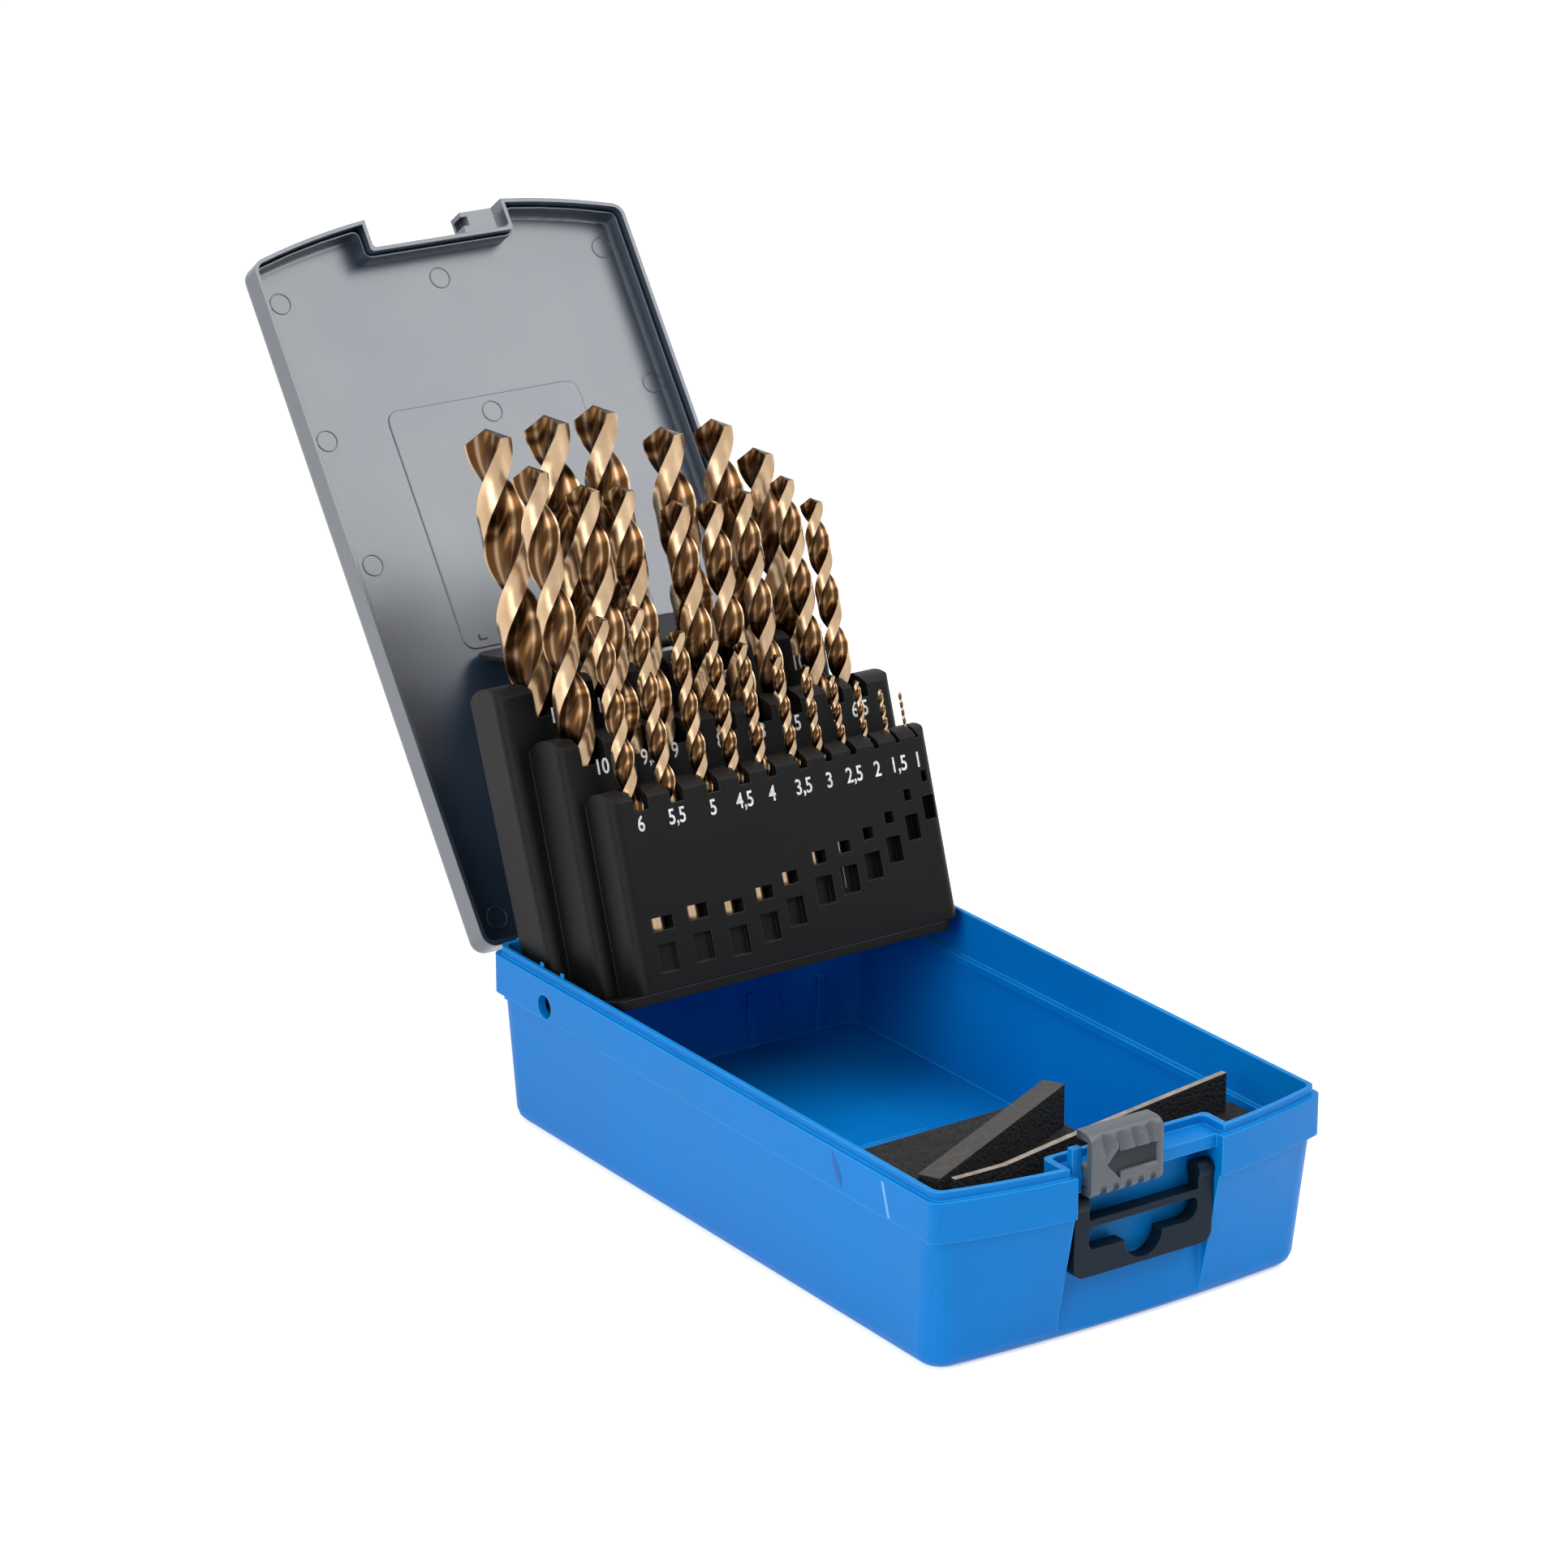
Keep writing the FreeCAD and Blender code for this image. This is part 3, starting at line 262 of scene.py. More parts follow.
def startMaterial(name, grainScales):
    # a new material with the grain laid on Object coordinates
    material = bpy.data.materials.new(name)
    material.use_nodes = True
    nodes, links = material.node_tree.nodes, material.node_tree.links
    place = nodes.new("ShaderNodeTexCoord").outputs["Object"]
    grain = placeGroup(nodes, "grain", grainScales)
    links.new(place, grain.inputs["Vector"])
    return material, nodes, links, nodes["Principled BSDF"], grain


def grainRange(nodes, links, grain, low=0.0, high=1.0, output="Patch"):
    return rangeNode(nodes, links, grain.outputs[output], *grainLook["middle"], low, high)


def addBump(nodes, links, shader, height, strength, distance, normal=None):
    bump = nodes.new("ShaderNodeBump")
    setSockets(bump, {"Strength": strength, "Distance": distance})
    links.new(height, bump.inputs["Height"])
    if normal:
        links.new(normal, bump.inputs["Normal"])
    links.new(bump.outputs["Normal"], shader.inputs["Normal"])


# plastics

plasticLook = {"darkerShare": 0.9, "leastRub": 0.45, "glossier": 0.04, "duller": 0.05, "bumpHeight": 0.0002,
               "ior": 1.49, "coatRoughness": 0.3}


def makePlastic(name, colour, worn, rough=0.42, depth=0.25, shine=0.25, coat=0.0, radius=edgeLook["radius"],
                gain=edgeLook["gain"]):
    # moulded plastic with patches of tone and gloss, fine grain, and edges lightened for rub marks and a
    # painted edge highlight
    material, nodes, links, shader, grain = startMaterial(name, {})
    edge = placeGroup(nodes, "edge", {"Radius": radius, "Gain": gain})
    darker = tuple(plasticLook["darkerShare"] * part for part in colour)
    base = mixColour(nodes, links, grainRange(nodes, links, grain), darker, colour)
    # edges take the worn colour: rub wear, and a painted highlight along the rounded rims
    patchyRubAndHighlight = grainRange(nodes, links, grain, plasticLook["leastRub"])
    rubAndHighlight = mathNode(nodes, links, "MULTIPLY", edge.outputs["Edge"], patchyRubAndHighlight)
    links.new(mixColour(nodes, links, rubAndHighlight, base, worn), shader.inputs["Base Color"])
    gloss = grainRange(nodes, links, grain, rough - plasticLook["glossier"], rough + plasticLook["duller"])
    links.new(gloss, shader.inputs["Roughness"])
    addBump(nodes, links, shader, grain.outputs["Height"], depth, plasticLook["bumpHeight"],
            edge.outputs["Normal"])
    setSockets(shader, {"IOR": plasticLook["ior"], "Specular IOR Level": shine, "Coat Weight": coat,
                        "Coat Roughness": plasticLook["coatRoughness"]})
    return material


# metals

drillSteel = {
    "grain": {"Fine": 1800.0, "Slow": 90.0}, "lands": ((0.50, 0.34, 0.20), (0.66, 0.47, 0.30)),
    "flute": (0.070, 0.031, 0.010), "roughness": (0.22, 0.34), "bump": (0.12, 0.0001),
    # how much flute colour at each depth: dark down each wall, and paler along the floor as a painted
    # reflection streak
    "stops": ((0.03, 0.0), (0.13, 1.0), (0.38, 1.0), (0.52, 0.58), (0.64, 0.95), (0.80, 1.0)),
}
pinSteel = {"colours": ((0.42, 0.42, 0.43), (0.58, 0.58, 0.6)), "roughness": (0.2, 0.4)}


def makeDrillSteel():
    # bronze-tempered steel with bright lands and brown flutes, with a painted reflection streak along each
    # flute floor
    material, nodes, links, shader, grain = startMaterial("bronzeDrillSteel", drillSteel["grain"])
    hollow = nodes.new("ShaderNodeAttribute")
    hollow.attribute_name = "hollow"
    land = mixColour(nodes, links, grainRange(nodes, links, grain), *drillSteel["lands"])
    # the ramp paints a paler reflection streak along each flute floor
    fluteAndStreakRamp = nodes.new("ShaderNodeValToRGB")
    marks = fluteAndStreakRamp.color_ramp.elements
    for index, (stop, shade) in enumerate(drillSteel["stops"]):
        mark = marks[index] if index < 2 else marks.new(stop)  # a new ramp has two marks
        mark.position = stop
        mark.color = (shade, shade, shade, 1)
    links.new(hollow.outputs["Fac"], fluteAndStreakRamp.inputs["Fac"])
    colour = mixColour(nodes, links, fluteAndStreakRamp.outputs["Color"], land, drillSteel["flute"])
    links.new(colour, shader.inputs["Base Color"])
    setSockets(shader, {"Metallic": 1.0})
    links.new(grainRange(nodes, links, grain, *drillSteel["roughness"]), shader.inputs["Roughness"])
    addBump(nodes, links, shader, grain.outputs["Height"], *drillSteel["bump"])
    return material


def makePinSteel():
    material, nodes, links, shader, grain = startMaterial("brightPinSteel", {})
    colour = mixColour(nodes, links, grainRange(nodes, links, grain), *pinSteel["colours"])
    links.new(colour, shader.inputs["Base Color"])
    setSockets(shader, {"Metallic": 1.0})
    gloss = grainRange(nodes, links, grain, *pinSteel["roughness"], output="Height")
    links.new(gloss, shader.inputs["Roughness"])
    return material


# foam

foamLook = {
    "grain": {"Fine": 1500.0, "Slow": 400.0}, "cellScale": 900.0, "pitReach": 0.6, "edgeRadius": 0.0003,
    "pit": (0.002, 0.002, 0.002), "granule": (0.011, 0.011, 0.011), "rubbed": (0.10, 0.09, 0.08),
    "shine": 0.2, "faceUp": (0.5, 0.6), "sheetTop": 0.0395, "blend": 0.0005, "leastSpeckle": 0.55,
    "roughness": (0.55, 0.8), "bump": (0.8, 0.0004),
}


def makeFoam(name, topColour):
    # dense black granules with small pits, and a paler cut edge on what stands above the sheet
    material, nodes, links, shader, grain = startMaterial(name, foamLook["grain"])
    place = nodes.new("ShaderNodeTexCoord").outputs["Object"]
    cells = nodes.new("ShaderNodeTexVoronoi")
    setSockets(cells, {"Scale": foamLook["cellScale"]})
    links.new(place, cells.inputs["Vector"])
    pits = rangeNode(nodes, links, cells.outputs["Distance"], 0.0, foamLook["pitReach"], 0.0, 1.0)
    edge = placeGroup(nodes, "edge", {"Radius": foamLook["edgeRadius"]})
    base = mixColour(nodes, links, pits, foamLook["pit"], foamLook["granule"])
    rubbed = mixColour(nodes, links, edge.outputs["Edge"], base, foamLook["rubbed"])
    facing = nodes.new("ShaderNodeSeparateXYZ")
    links.new(nodes.new("ShaderNodeNewGeometry").outputs["Normal"], facing.inputs[0])
    height = nodes.new("ShaderNodeSeparateXYZ")
    links.new(place, height.inputs[0])
    upward = rangeNode(nodes, links, facing.outputs["Z"], *foamLook["faceUp"], 0.0, 1.0)
    above = rangeNode(nodes, links, height.outputs["Z"], foamLook["sheetTop"],
                      foamLook["sheetTop"] + foamLook["blend"], 0.0, 1.0)
    top = mathNode(nodes, links, "MULTIPLY", upward, above)
    speckle = grainRange(nodes, links, grain, foamLook["leastSpeckle"])
    speckled = mathNode(nodes, links, "MULTIPLY", top, speckle)
    links.new(mixColour(nodes, links, speckled, rubbed, topColour), shader.inputs["Base Color"])
    links.new(grainRange(nodes, links, grain, *foamLook["roughness"]), shader.inputs["Roughness"])
    setSockets(shader, {"Specular IOR Level": foamLook["shine"]})
    total = mathNode(nodes, links, "ADD", pits, grain.outputs["Height"])
    addBump(nodes, links, shader, total, *foamLook["bump"], edge.outputs["Normal"])
    return material


# one finish for each material slot, and the nodes that have their own

finishes = {
    # the tray's light blue edge colour at high gain is mostly a painted highlight along its rims
    "blue_plastic": makePlastic("brightBlueTray", (0.0, 0.195, 0.60), (0.03, 0.48, 1.0), rough=0.40,
                                shine=0.15, radius=0.0006, gain=6.0),
    "slate_plastic": makePlastic("slateLid", (0.014, 0.027, 0.050), (0.09, 0.11, 0.14), rough=0.32,
                                 depth=0.3, shine=0.5, coat=1.0),
    "grey_plastic": makePlastic("greyLatch", (0.078, 0.090, 0.106), (0.26, 0.28, 0.30), depth=0.5,
                                shine=0.5),
    "charcoal_plastic": makePlastic("charcoalHolder", (0.0055, 0.0055, 0.0058), (0.06, 0.06, 0.06),
                                    depth=0.35, shine=0.13),
    "black_plastic": makePlastic("blackFlap", (0.010, 0.010, 0.011), (0.07, 0.07, 0.07)),
    "black_foam": makeFoam("granularBlackFoam", (0.05, 0.045, 0.04)),
    "steel_pin": makePinSteel(),
    "drill_bronze": makeDrillSteel(),
}
ownFinish = {
    "carry_handle": makePlastic("slateHandle", (0.003, 0.010, 0.021), (0.03, 0.05, 0.07), depth=0.4,
                                shine=0.13),
    "insert_fin_thick": makeFoam("thickFinFoam", (0.075, 0.070, 0.066)),
    "insert_fin_thin": makeFoam("thinFinFoam", (0.40, 0.34, 0.29)),
}
slotOf = {entry["node"]: entry["material_slot"] for entry in frame["record"]["subparts"]}
for nodeName, node in frame["nodes"].items():
    node.data.materials.clear()
    node.data.materials.append(ownFinish.get(nodeName, finishes[slotOf[nodeName]]))
print("stage: finishes made")

# drills

# standard lengths, overall and fluted, in millimetres
drillLengths = {
    "1_0": (34, 12), "1_5": (40, 18), "2_0": (49, 24), "2_5": (57, 30), "3_0": (61, 33),
    "3_5": (70, 39), "4_0": (75, 43), "4_5": (80, 47), "5_0": (86, 52), "5_5": (93, 57),
    "6_0": (93, 57), "6_5": (101, 63), "7_0": (109, 69), "7_5": (109, 69), "8_0": (117, 75),
    "8_5": (117, 75), "9_0": (125, 81), "9_5": (125, 81), "10_0": (133, 87), "10_5": (133, 87),
    "11_0": (142, 94), "11_5": (142, 94), "12_0": (151, 101), "12_5": (151, 101), "13_0": (151, 101),
}
perMetre = 1000  # millimetres
# shares are of the drill's radius, but pitchShare is of its diameter and marginShare of the land's width
drillShape = {
    "pitchShare": 4.45, "millShare": 0.80, "millPlaceShare": 1.02, "fluteSteps": 9, "landSteps": 7,
    "marginShare": 0.16, "reliefShare": 0.965, "turnStep": 6.0, "leastTurnSteps": 8, "tipFacing": 243.0,
    "overrun": 0.001, "mergeShare": 0.001, "pointAngle": 122.0, "pencilShare": 1.3, "pencilSides": 64,
    "facingDown": -0.9, "shankShare": 0.995, "shankSides": 40, "shankRimShare": 0.12, "shankRimSteps": 2,
    "smoothAngle": 40,
}


def fluteRing(radius):
    # polar outline of the fluted section: two milled hollows, two lands with a raised margin
    mill = radius * drillShape["millShare"]
    place = radius * drillShape["millPlaceShare"]
    half = math.acos((radius ** 2 + place ** 2 - mill ** 2) / (2 * radius * place))
    landWidth = math.pi - 2 * half
    ring = []
    for side in (0, math.pi):
        for step in range(drillShape["fluteSteps"] + 1):
            angle = half * (2 * step / drillShape["fluteSteps"] - 1)
            reach = place * math.cos(angle) - math.sqrt(max(0, mill ** 2 - (place * math.sin(angle)) ** 2))
            ring.append((side + angle, reach))
        for step in range(1, drillShape["landSteps"]):
            share = step / drillShape["landSteps"]
            reach = radius * (1 if share <= drillShape["marginShare"] else drillShape["reliefShare"])
            ring.append((side + half + landWidth * share, reach))
    return ring


def twistFlutes(radius, fluted):
    # the fluted section swept up and round, then closed at both ends
    ring = fluteRing(radius)
    points = [(reach * math.cos(angle), reach * math.sin(angle), 0) for angle, reach in ring]
    flutes = traceOutline(points, False)
    height = fluted + drillShape["overrun"]
    twist = height / (2 * radius * drillShape["pitchShare"]) * 2 * math.pi
    screw = flutes.modifiers.new("twist", "SCREW")
    screw.axis = "Z"
    screw.screw_offset = height
    screw.angle = twist
    turnSteps = round(math.degrees(screw.angle) / drillShape["turnStep"])
    screw.steps = screw.render_steps = max(drillShape["leastTurnSteps"], turnSteps)
    applyModifiers(flutes)
    flutes.rotation_euler.z = math.radians(drillShape["tipFacing"]) - twist
    bakePlace(flutes)
    bpy.ops.object.mode_set(mode="EDIT")
    bpy.ops.mesh.select_mode(type="VERT")
    bpy.ops.mesh.select_all(action="SELECT")
    bpy.ops.mesh.remove_doubles(threshold=radius * drillShape["mergeShare"])
    bpy.ops.mesh.select_all(action="DESELECT")
    bpy.ops.mesh.select_mode(type="EDGE")
    bpy.ops.mesh.select_non_manifold(extend=False)
    bpy.ops.mesh.edge_face_add()
    bpy.ops.mesh.select_all(action="SELECT")
    bpy.ops.mesh.normals_make_consistent(inside=False)
    bpy.ops.object.mode_set(mode="OBJECT")
    return flutes


def grindPoint(flutes, radius, fluted):
    # a long pencil round the flutes, whose cone grinds the point
    wide = radius * drillShape["pencilShare"]
    cone = wide / math.tan(math.radians(drillShape["pointAngle"] / 2))
    deselectAll()
    bpy.ops.mesh.primitive_cone_add(vertices=drillShape["pencilSides"], radius1=wide, radius2=0, depth=cone,
                                    location=(0, 0, fluted - cone / 2))
    pencil = bpy.context.object
    bakePlace(pencil)
    bpy.ops.object.mode_set(mode="EDIT")
    bpy.ops.mesh.select_mode(type="FACE")
    bpy.ops.mesh.select_all(action="DESELECT")
    bpy.ops.object.mode_set(mode="OBJECT")
    for face in pencil.data.polygons:
        face.select = face.normal.z < drillShape["facingDown"]
    bpy.ops.object.mode_set(mode="EDIT")
    downward = (0, 0, -fluted - 2 * drillShape["overrun"])
    bpy.ops.mesh.extrude_region_move(TRANSFORM_OT_translate={"value": downward})
    bpy.ops.object.mode_set(mode="OBJECT")
    carve(flutes, "INTERSECT", pencil)


def makeShank(radius, length):
    deselectAll()
    bpy.ops.mesh.primitive_cylinder_add(vertices=drillShape["shankSides"], depth=length,
                                        radius=radius * drillShape["shankShare"],
                                        location=(0, 0, length / 2))
    shank = bpy.context.object
    bakePlace(shank)
    softenEdges(shank, radius * drillShape["shankRimShare"], drillShape["shankRimSteps"])
    return shank


def paintHollow(drill, radius):
    # how far each point lies inside the drill's full radius, for the flutes' colour and their painted
    # reflection streak
    hollow = drill.data.attributes.new("hollow", "FLOAT", "POINT")
    for vertex in drill.data.vertices:
        hollow.data[vertex.index].value = max(0, 1 - vertex.co.xy.length / radius)


def standInHolder(drill, nodeName):
    # leaned like the holder, then set by its lowest and rearmost points
    low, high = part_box(nodeName)
    drill.matrix_world = Matrix.Rotation(math.radians(-holder["tilt"]), 4, "X")
    bakePlace(drill)
    lowest = min(vertex.co.z for vertex in drill.data.vertices)
    back = max(vertex.co.y for vertex in drill.data.vertices)
    drill.location = ((low.x + high.x) / 2, high.y - back, low.z - lowest)
    bakePlace(drill)


def makeDrill(nodeName, size):
    radius = float(size.replace("_", ".")) / 2 / perMetre
    overall, fluted = (value / perMetre for value in drillLengths[size])
    flutes = twistFlutes(radius, fluted)
    grindPoint(flutes, radius, fluted)
    shank = makeShank(radius, overall - fluted)
    flutes.location.z = overall - fluted
    bakePlace(flutes)
    drill = joinPieces([flutes, shank], "fluted_" + nodeName)
    paintHollow(drill, radius)
    standInHolder(drill, nodeName)
    finishPiece(drill, finishes["drill_bronze"], "holder", drillShape["smoothAngle"])
    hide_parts(nodeName)


for nodeName in sorted(frame["nodes"]):
    size = nodeName.replace("drill_", "")
    if size in drillLengths:
        makeDrill(nodeName, size)
print("stage: drills made")

# size numbers printed on the front of each step

numberPrint = {"size": 0.0058, "narrow": 0.78, "thick": 0.00006, "bold": 0.00007, "shift": -0.001,
               "curveSteps": 4, "smoothAngle": 20}
numberRows = [
    {"depth": -0.0046, "height": 0.0438,
     "drills": ["6_0", "5_5", "5_0", "4_5", "4_0", "3_5", "3_0", "2_5", "2_0", "1_5", "1_0"]},
    {"depth": 0.0080, "height": 0.0596,
     "drills": ["10_0", "9_5", "9_0", "8_5", "8_0", "7_5", "7_0", "6_5"]},
    {"depth": 0.0240, "height": 0.0743, "drills": ["13_0", "12_5", "12_0", "11_5", "11_0", "10_5"]},
]
# sideways shifts of single numbers
numberNudge = {"10_0": 0.003, "9_5": 0.003, "13_0": 0.0023}
whitePaint = {"grain": {"Fine": 3000.0, "Slow": 700.0}, "worn": (0.35, 0.6), "roughness": (0.45, 0.6),
              "colours": ((0.55, 0.55, 0.55), (0.82, 0.82, 0.81))}


def makeWhitePaint():
    # printed white, worn thin in places
    material, nodes, links, shader, grain = startMaterial("printedWhite", whitePaint["grain"])
    thin = rangeNode(nodes, links, grain.outputs["Patch"], *whitePaint["worn"], 0.0, 1.0)
    links.new(mixColour(nodes, links, thin, *whitePaint["colours"]), shader.inputs["Base Color"])
    gloss = grainRange(nodes, links, grain, *whitePaint["roughness"], output="Height")
    links.new(gloss, shader.inputs["Roughness"])
    return material


def printNumber(size, row):
    low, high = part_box("drill_" + size)
    deselectAll()
    bpy.ops.object.text_add()
    label = bpy.context.object
    label.data.body = size.replace("_0", "").replace("_", ",")
    label.data.size = numberPrint["size"]
    label.data.align_x = label.data.align_y = "CENTER"
    label.data.extrude = numberPrint["thick"]
    label.data.offset = numberPrint["bold"]
    label.data.resolution_u = numberPrint["curveSteps"]
    bpy.ops.object.convert(target="MESH")
    label = bpy.context.object
    label.scale.x = numberPrint["narrow"]
    label.rotation_euler.x = math.radians(90)
    x = (low.x + high.x) / 2 + numberPrint["shift"] + numberNudge.get(size, 0)
    label.location = (x, row["depth"], row["height"])
    bakePlace(label)
    return label


printed = [printNumber(size, row) for row in numberRows for size in row["drills"]]
sizeNumbers = joinPieces(printed, "sizeNumbers")
leanToHolder(sizeNumbers)
finishPiece(sizeNumbers, makeWhitePaint(), "holder", numberPrint["smoothAngle"])
print("stage: numbers printed")

# mouldings inside the lid, made in the closed lid's place

lidInside = {
    "halfWidth": 0.0599, "rear": 0.1001, "crest": -0.1084, "floor": 0.0553, "notchHalf": 0.022,
    "notchBack": -0.0989, "lipInset": 0.00175, "lipWall": 0.0006, "lipLow": 0.0494, "bowStep": 0.012,
    "cornerRadius": 0.0022, "cornerSteps": 5, "straight": 160, "sunk": 0.0001, "rimShare": 0.25,
    "rimSteps": 2, "panelHalf": 0.031, "panelFrom": 0.083, "panelTo": 0.154, "panelCorner": 0.004,
    "panelBevel": 0.00025, "panelRise": 0.00035, "panelSunk": 0.0006, "ringRadius": 0.0030,
    "ringWall": 0.00034, "ringRise": 0.0002, "ringSides": 40,
}
# across the lid, and how far ahead of its rear edge
ejectorRings = [(-0.051, 0.190), (0.0, 0.190), (0.054, 0.191), (-0.051, 0.149), (0.0017, 0.149),
                (0.055, 0.149), (-0.050, 0.112), (-0.049, 0.009)]
plateLook = {"rimSteps": 3, "smoothAngle": 10}


def roundPath(corners, radius):
    # corners turned into short arcs; a corner that hardly turns is kept as it is
    path = []
    for index, corner in enumerate(corners):
        corner = Vector(corner)
        back = Vector(corners[index - 1]) - corner
        ahead = Vector(corners[(index + 1) % len(corners)]) - corner
        between = back.angle(ahead)
        if between > math.radians(lidInside["straight"]):
            path.append(corner)
            continue
        reach = radius / math.tan(between / 2)
        start = corner + back.normalized() * reach
        end = corner + ahead.normalized() * reach
        for step in range(lidInside["cornerSteps"] + 1):
            share = step / lidInside["cornerSteps"]
            path.append(start.lerp(corner, share).lerp(corner.lerp(end, share), share))
    return path


def outlineStrip(path, low, rise, wall):
    # a thin wall standing on a closed line
    strip = traceOutline([(x, y, low) for x, y in path], False)
    raiseOutline("VERT", (0, 0, rise))
    thick = strip.modifiers.new("wall", "SOLIDIFY")
    thick.thickness = wall
    thick.offset = 0
    thick.use_even_offset = True
    softenEdges(strip, min(wall, rise) * lidInside["rimShare"], lidInside["rimSteps"])
    return strip


def raisedPlate(path, low, rise, bevel):
    # a flat plate with softened edges inside a closed line
    plate = traceOutline([(x, y, low) for x, y in path], True)
    raiseOutline("FACE", (0, 0, rise))
    softenEdges(plate, bevel, plateLook["rimSteps"])
    return plate


def makeLip():
    inset = lidInside["lipInset"]
    half = lidInside["halfWidth"] - inset
    rear = lidInside["rear"] - inset
    crest = lidInside["crest"] + inset
    notch = lidInside["notchHalf"] + inset
    notchBack = lidInside["notchBack"] + inset
    bow = caseShape["bow"]
    bowStep = lidInside["bowStep"]
    across = (half, half - bowStep, notch + bowStep, notch)
    right = [(x, crest + bow - math.sqrt(bow ** 2 - x ** 2)) for x in across]
    left = [(-x, y) for x, y in reversed(right)]
    corners = [(-half, rear), (half, rear)] + right + [(notch, notchBack), (-notch, notchBack)] + left
    rise = lidInside["floor"] - lidInside["lipLow"] + lidInside["sunk"]
    return outlineStrip(roundPath(corners, lidInside["cornerRadius"]), lidInside["lipLow"], rise,
                        lidInside["lipWall"])


def makePanel():
    half = lidInside["panelHalf"]
    near = lidInside["rear"] - lidInside["panelFrom"]
    far = lidInside["rear"] - lidInside["panelTo"]
    path = roundPath([(-half, near), (half, near), (half, far), (-half, far)], lidInside["panelCorner"])
    return raisedPlate(path, lidInside["floor"] - lidInside["panelRise"],
                       lidInside["panelRise"] + lidInside["panelSunk"], lidInside["panelBevel"])


def makeRing(x, reach):
    onPanel = abs(x) < lidInside["panelHalf"] and lidInside["panelFrom"] < reach < lidInside["panelTo"]
    base = lidInside["floor"] - (lidInside["panelRise"] if onPanel else 0)
    radius, sides = lidInside["ringRadius"], lidInside["ringSides"]
    turns = [2 * math.pi * step / sides for step in range(sides)]
    y = lidInside["rear"] - reach
    path = [(x + radius * math.cos(turn), y + radius * math.sin(turn)) for turn in turns]
    return outlineStrip(path, base - lidInside["ringRise"], lidInside["ringRise"] + lidInside["sunk"],
                        lidInside["ringWall"])


innerLip = makeLip()
innerLip.name = "innerLip"
innerPanel = makePanel()
innerPanel.name = "innerPanel"
rings = joinPieces([makeRing(x, reach) for x, reach in ejectorRings], "ejectorRings")
for piece, angle in ((innerLip, smoothAngle), (innerPanel, plateLook["smoothAngle"]), (rings, smoothAngle)):
    openWithLid(piece)
    finishPiece(piece, finishes["slate_plastic"], "lid", angle)
print("stage: lid mouldings made")

# a painted highlight bar and a painted shade lens on the left side of the collar, as (height, depth)
# outlines

collarLightPatches = {
    "face": 0.0598, "proud": 0.00008, "sunk": 0.0002, "bevel": 0.00003,
    "bar": [(0.0454, -0.0786), (0.0454, -0.0796), (0.0368, -0.0824), (0.0368, -0.0814)],
    "lens": [(0.0459, -0.0580), (0.0430, -0.0607), (0.0400, -0.0621), (0.0373, -0.0624), (0.0395, -0.0600),
             (0.0425, -0.0584)],
}
paintedLightFinishes = {
    # the pale bar paints a thin highlight, the deep blue lens paints the shade of a shallow ramp in the
    # collar
    "bar": makePlastic("paleWitness", (0.16, 0.42, 0.78), (0.25, 0.55, 0.90), rough=0.4, shine=0.2),
    "lens": makePlastic("deepWitness", (0.0, 0.105, 0.40), (0.0, 0.16, 0.50), rough=0.35, shine=0.2),
}


def markPlate(outline):
    plate = raisedPlate(outline, collarLightPatches["face"] - collarLightPatches["sunk"],
                        collarLightPatches["sunk"] + collarLightPatches["proud"], collarLightPatches["bevel"])
    plate.rotation_euler.y = math.radians(-90)
    bakePlace(plate)
    return plate


for markName, markFinish in paintedLightFinishes.items():
    mark = markPlate(collarLightPatches[markName])
    mark.name = "collarMark_" + markName
    finishPiece(mark, markFinish, "base", plateLook["smoothAngle"])
print("stage: collar marks made")

# the slider with its recessed arrow and the scallops along its lower edge

sliderShape = {
    "face": -0.1083, "arrowDepth": 0.0007, "overrun": 0.002, "mergeDistance": 0.000002,
    "floorReach": 0.00002, "facingFront": -0.99, "scallops": 5, "scallopRadius": 0.0010,
    "scallopIn": 0.0007, "scallopLength": 0.006, "scallopSides": 24, "scallopTurn": 225,
    "arrow": [(-0.0142, 0.0487), (-0.0100, 0.0532), (-0.0100, 0.0515), (0.0013, 0.0515), (0.0013, 0.0462),
              (-0.0100, 0.0462), (-0.0100, 0.0442)],
}
arrowFinish = makePlastic("arrowRecess", (0.022, 0.028, 0.036), (0.10, 0.11, 0.12), rough=0.5, depth=0.4)


def arrowCutter():
    ahead = sliderShape["face"] - sliderShape["overrun"]
    cutter = traceOutline([(x, ahead, z) for x, z in sliderShape["arrow"]], True)
    raiseOutline("FACE", (0, sliderShape["overrun"] + sliderShape["arrowDepth"], 0))
    return cutter


def scallopCutter(number):
    # a short rod across the rounded lower edge
    low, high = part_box("latch_slider")
    x = low.x + (high.x - low.x) * (number + 1) / (sliderShape["scallops"] + 1)
    y = sliderShape["face"] + sliderShape["scallopIn"]
    deselectAll()
    bpy.ops.mesh.primitive_cylinder_add(
        vertices=sliderShape["scallopSides"], radius=sliderShape["scallopRadius"],
        depth=sliderShape["scallopLength"], rotation=(math.radians(sliderShape["scallopTurn"]), 0, 0),
        location=(x, y, low.z + sliderShape["scallopIn"]))
    cutter = bpy.context.object
    bakePlace(cutter)
    return cutter


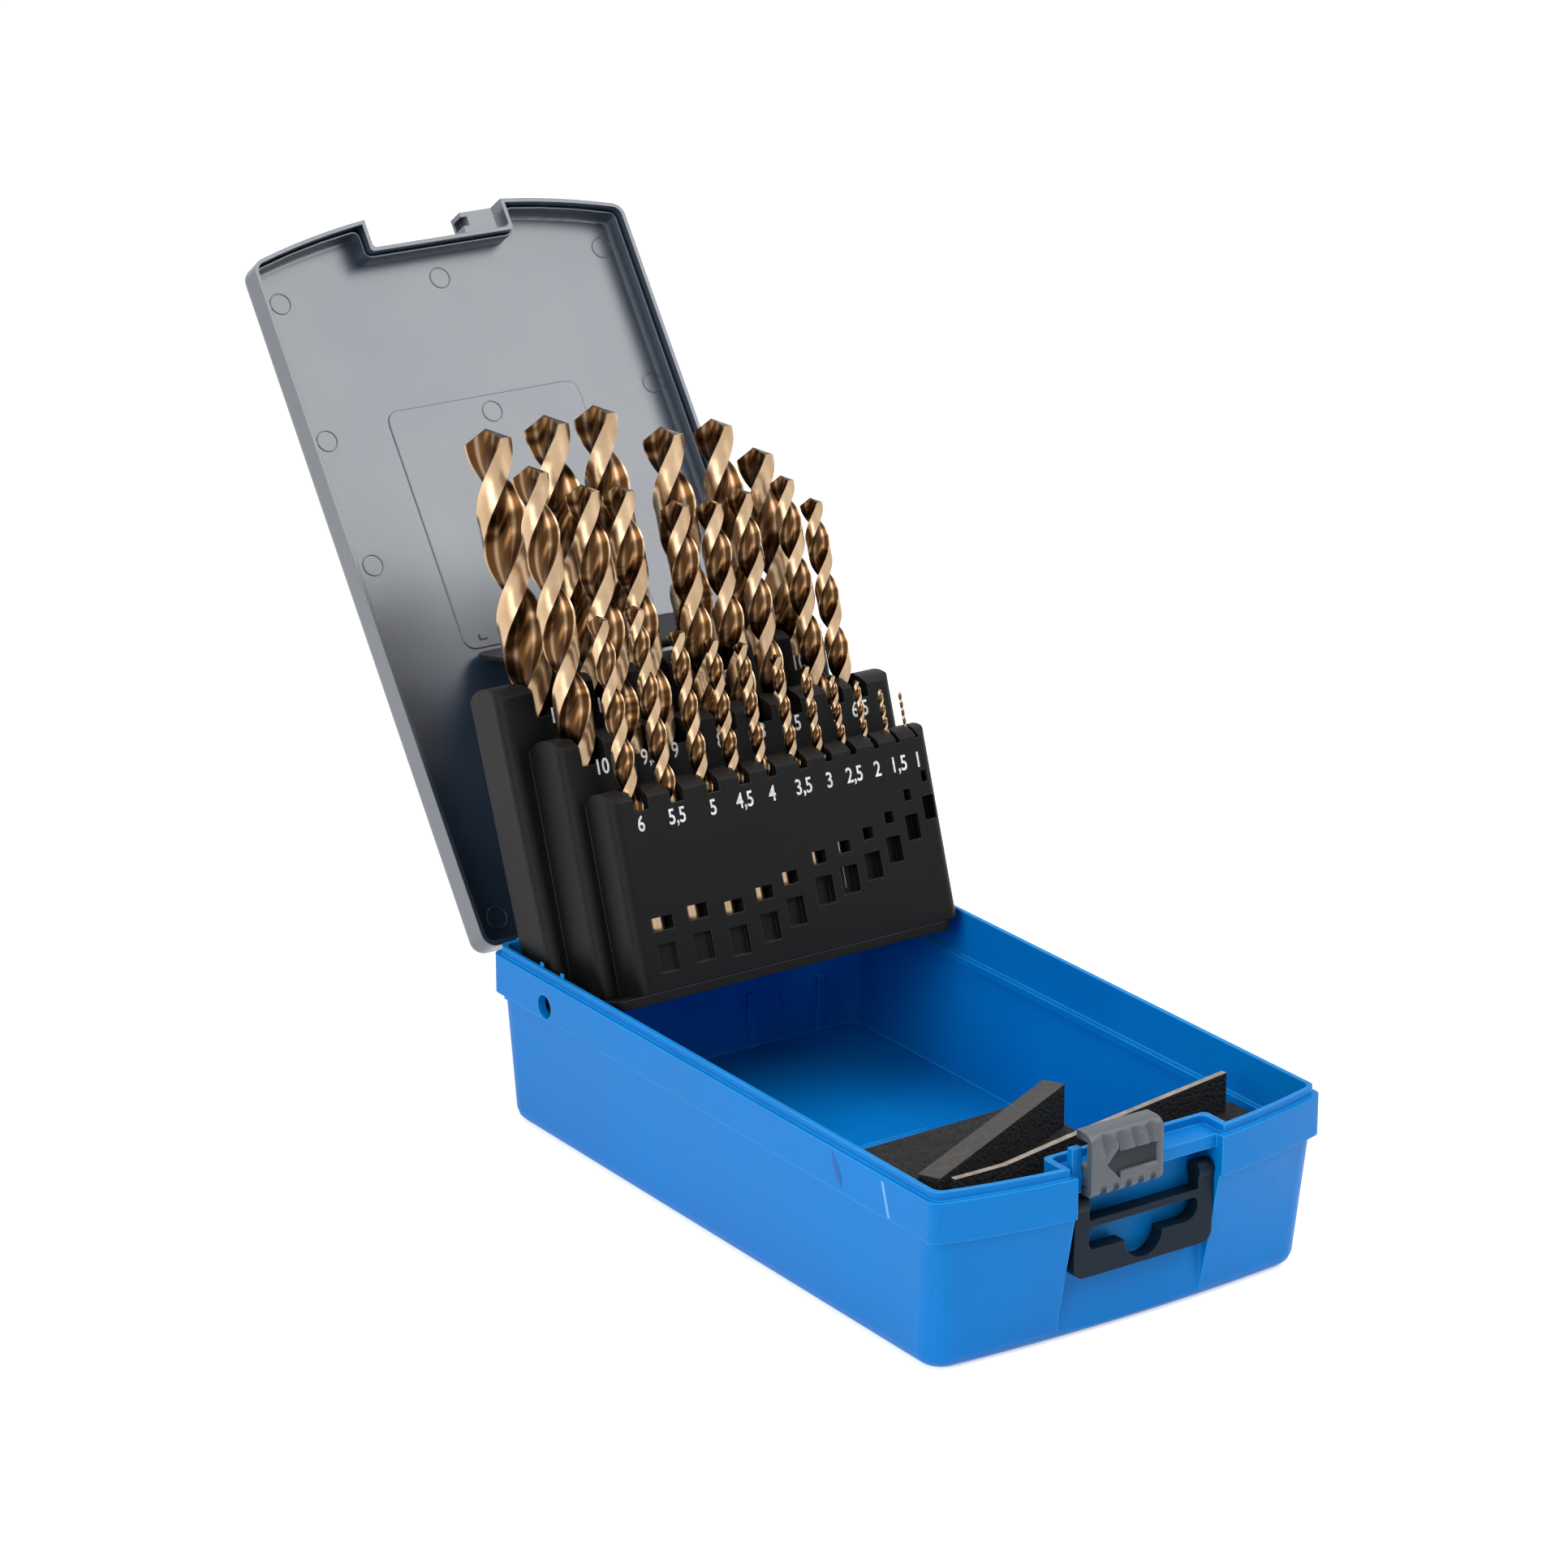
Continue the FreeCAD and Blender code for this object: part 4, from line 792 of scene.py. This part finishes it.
def makeSlider():
    slider = bpy.data.objects.new("arrowSlider", frame["nodes"]["latch_slider"].data.copy())
    bpy.context.collection.objects.link(slider)
    pick(slider)
    bpy.ops.object.mode_set(mode="EDIT")
    bpy.ops.mesh.select_all(action="SELECT")
    bpy.ops.mesh.remove_doubles(threshold=sliderShape["mergeDistance"])
    bpy.ops.object.mode_set(mode="OBJECT")
    for cutter in [arrowCutter()] + [scallopCutter(number) for number in range(sliderShape["scallops"])]:
        carve(slider, "DIFFERENCE", cutter)
    return slider


def paintArrow(slider):
    # the arrow's floor takes the slider's second material
    slider.data.materials.append(arrowFinish)
    floorDepth = sliderShape["face"] + sliderShape["arrowDepth"]
    for face in slider.data.polygons:
        onFloor = abs(face.center.y - floorDepth) < sliderShape["floorReach"]
        if onFloor and face.normal.y < sliderShape["facingFront"]:
            face.material_index = 1


arrowSlider = makeSlider()
finishPiece(arrowSlider, finishes["grey_plastic"], "slider")
paintArrow(arrowSlider)
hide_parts("latch_slider")
print("stage: slider made")

# floor, light and camera

studio = {
    "worldLight": 0.22, "floorSize": 6, "floorRoughness": 0.7, "floorGrain": 40, "floorGlow": 0.55,
    "floorColours": ((0.93, 0.93, 0.93), (0.95, 0.95, 0.95)), "white": (1, 1, 1, 1), "aim": (0, 0.03, 0.08),
}
lamps = {
    "overhead": {"place": (-0.1, 0.3, 1.5), "size": 1.4, "power": 11},
    "left": {"place": (-1.4, -0.5, 0.8), "size": 1.0, "power": 16},
    "gloss": {"place": (0.62, -0.55, 1.0), "size": 0.8, "power": 10},
}
cameraSet = {"place": (-0.75324, -1.04881, 0.57248), "turn": (70.347, 0.067, -34.465), "lens": 124.24,
             "sensor": 36, "clipStart": 0.05, "clipEnd": 20}


def seenDirectly(nodes, links):
    # 1 on rays to the camera, from a reflection or through clear pieces, 0 on those that light the object
    path = nodes.new("ShaderNodeLightPath")
    seen = mathNode(nodes, links, "MAXIMUM", path.outputs["Is Camera Ray"], path.outputs["Is Glossy Ray"])
    return mathNode(nodes, links, "MAXIMUM", seen, path.outputs["Is Transmission Ray"])


def makeWorld():
    world = bpy.data.worlds.new("studio")
    bpy.context.scene.world = world
    world.use_nodes = True
    nodes, links = world.node_tree.nodes, world.node_tree.links
    background = nodes["Background"]
    setSockets(background, {"Color": studio["white"]})
    strength = rangeNode(nodes, links, seenDirectly(nodes, links), 0, 1, studio["worldLight"], 1.0)
    links.new(strength, background.inputs["Strength"])


def makeFloor():
    deselectAll()
    bpy.ops.mesh.primitive_plane_add(size=studio["floorSize"], location=(0, 0, 0))
    floor = bpy.context.object
    floor.name = "studioFloor"
    material = bpy.data.materials.new("palePaper")
    material.use_nodes = True
    nodes, links = material.node_tree.nodes, material.node_tree.links
    shader = nodes["Principled BSDF"]
    noise = nodes.new("ShaderNodeTexNoise")
    setSockets(noise, {"Scale": studio["floorGrain"]})
    paper = mixColour(nodes, links, noise.outputs["Fac"], *studio["floorColours"])
    links.new(paper, shader.inputs["Base Color"])
    # white for the camera and for reflections, with the shadow still on it
    setSockets(shader, {"Roughness": studio["floorRoughness"], "Emission Color": studio["white"]})
    glow = rangeNode(nodes, links, seenDirectly(nodes, links), 0, 1, 0.0, studio["floorGlow"])
    links.new(glow, shader.inputs["Emission Strength"])
    floor.data.materials.append(material)


def makeLamps():
    for name, lamp in lamps.items():
        data = bpy.data.lights.new(name, "AREA")
        data.size = lamp["size"]
        data.energy = lamp["power"]
        light = bpy.data.objects.new(name, data)
        bpy.context.collection.objects.link(light)
        light.location = lamp["place"]
        aim = Vector(studio["aim"]) - Vector(lamp["place"])
        light.rotation_euler = aim.to_track_quat("-Z", "Y").to_euler()


def makeCamera():
    data = bpy.data.cameras.new("photoCamera")
    data.lens = cameraSet["lens"]
    data.sensor_width = cameraSet["sensor"]
    data.clip_start = cameraSet["clipStart"]
    data.clip_end = cameraSet["clipEnd"]
    camera = bpy.data.objects.new("photoCamera", data)
    bpy.context.collection.objects.link(camera)
    camera.location = cameraSet["place"]
    camera.rotation_euler = Euler([math.radians(value) for value in cameraSet["turn"]])
    bpy.context.scene.camera = camera


makeWorld()
makeFloor()
makeLamps()
makeCamera()
bpy.context.scene.view_settings.view_transform = "Standard"
print("stage: studio made")
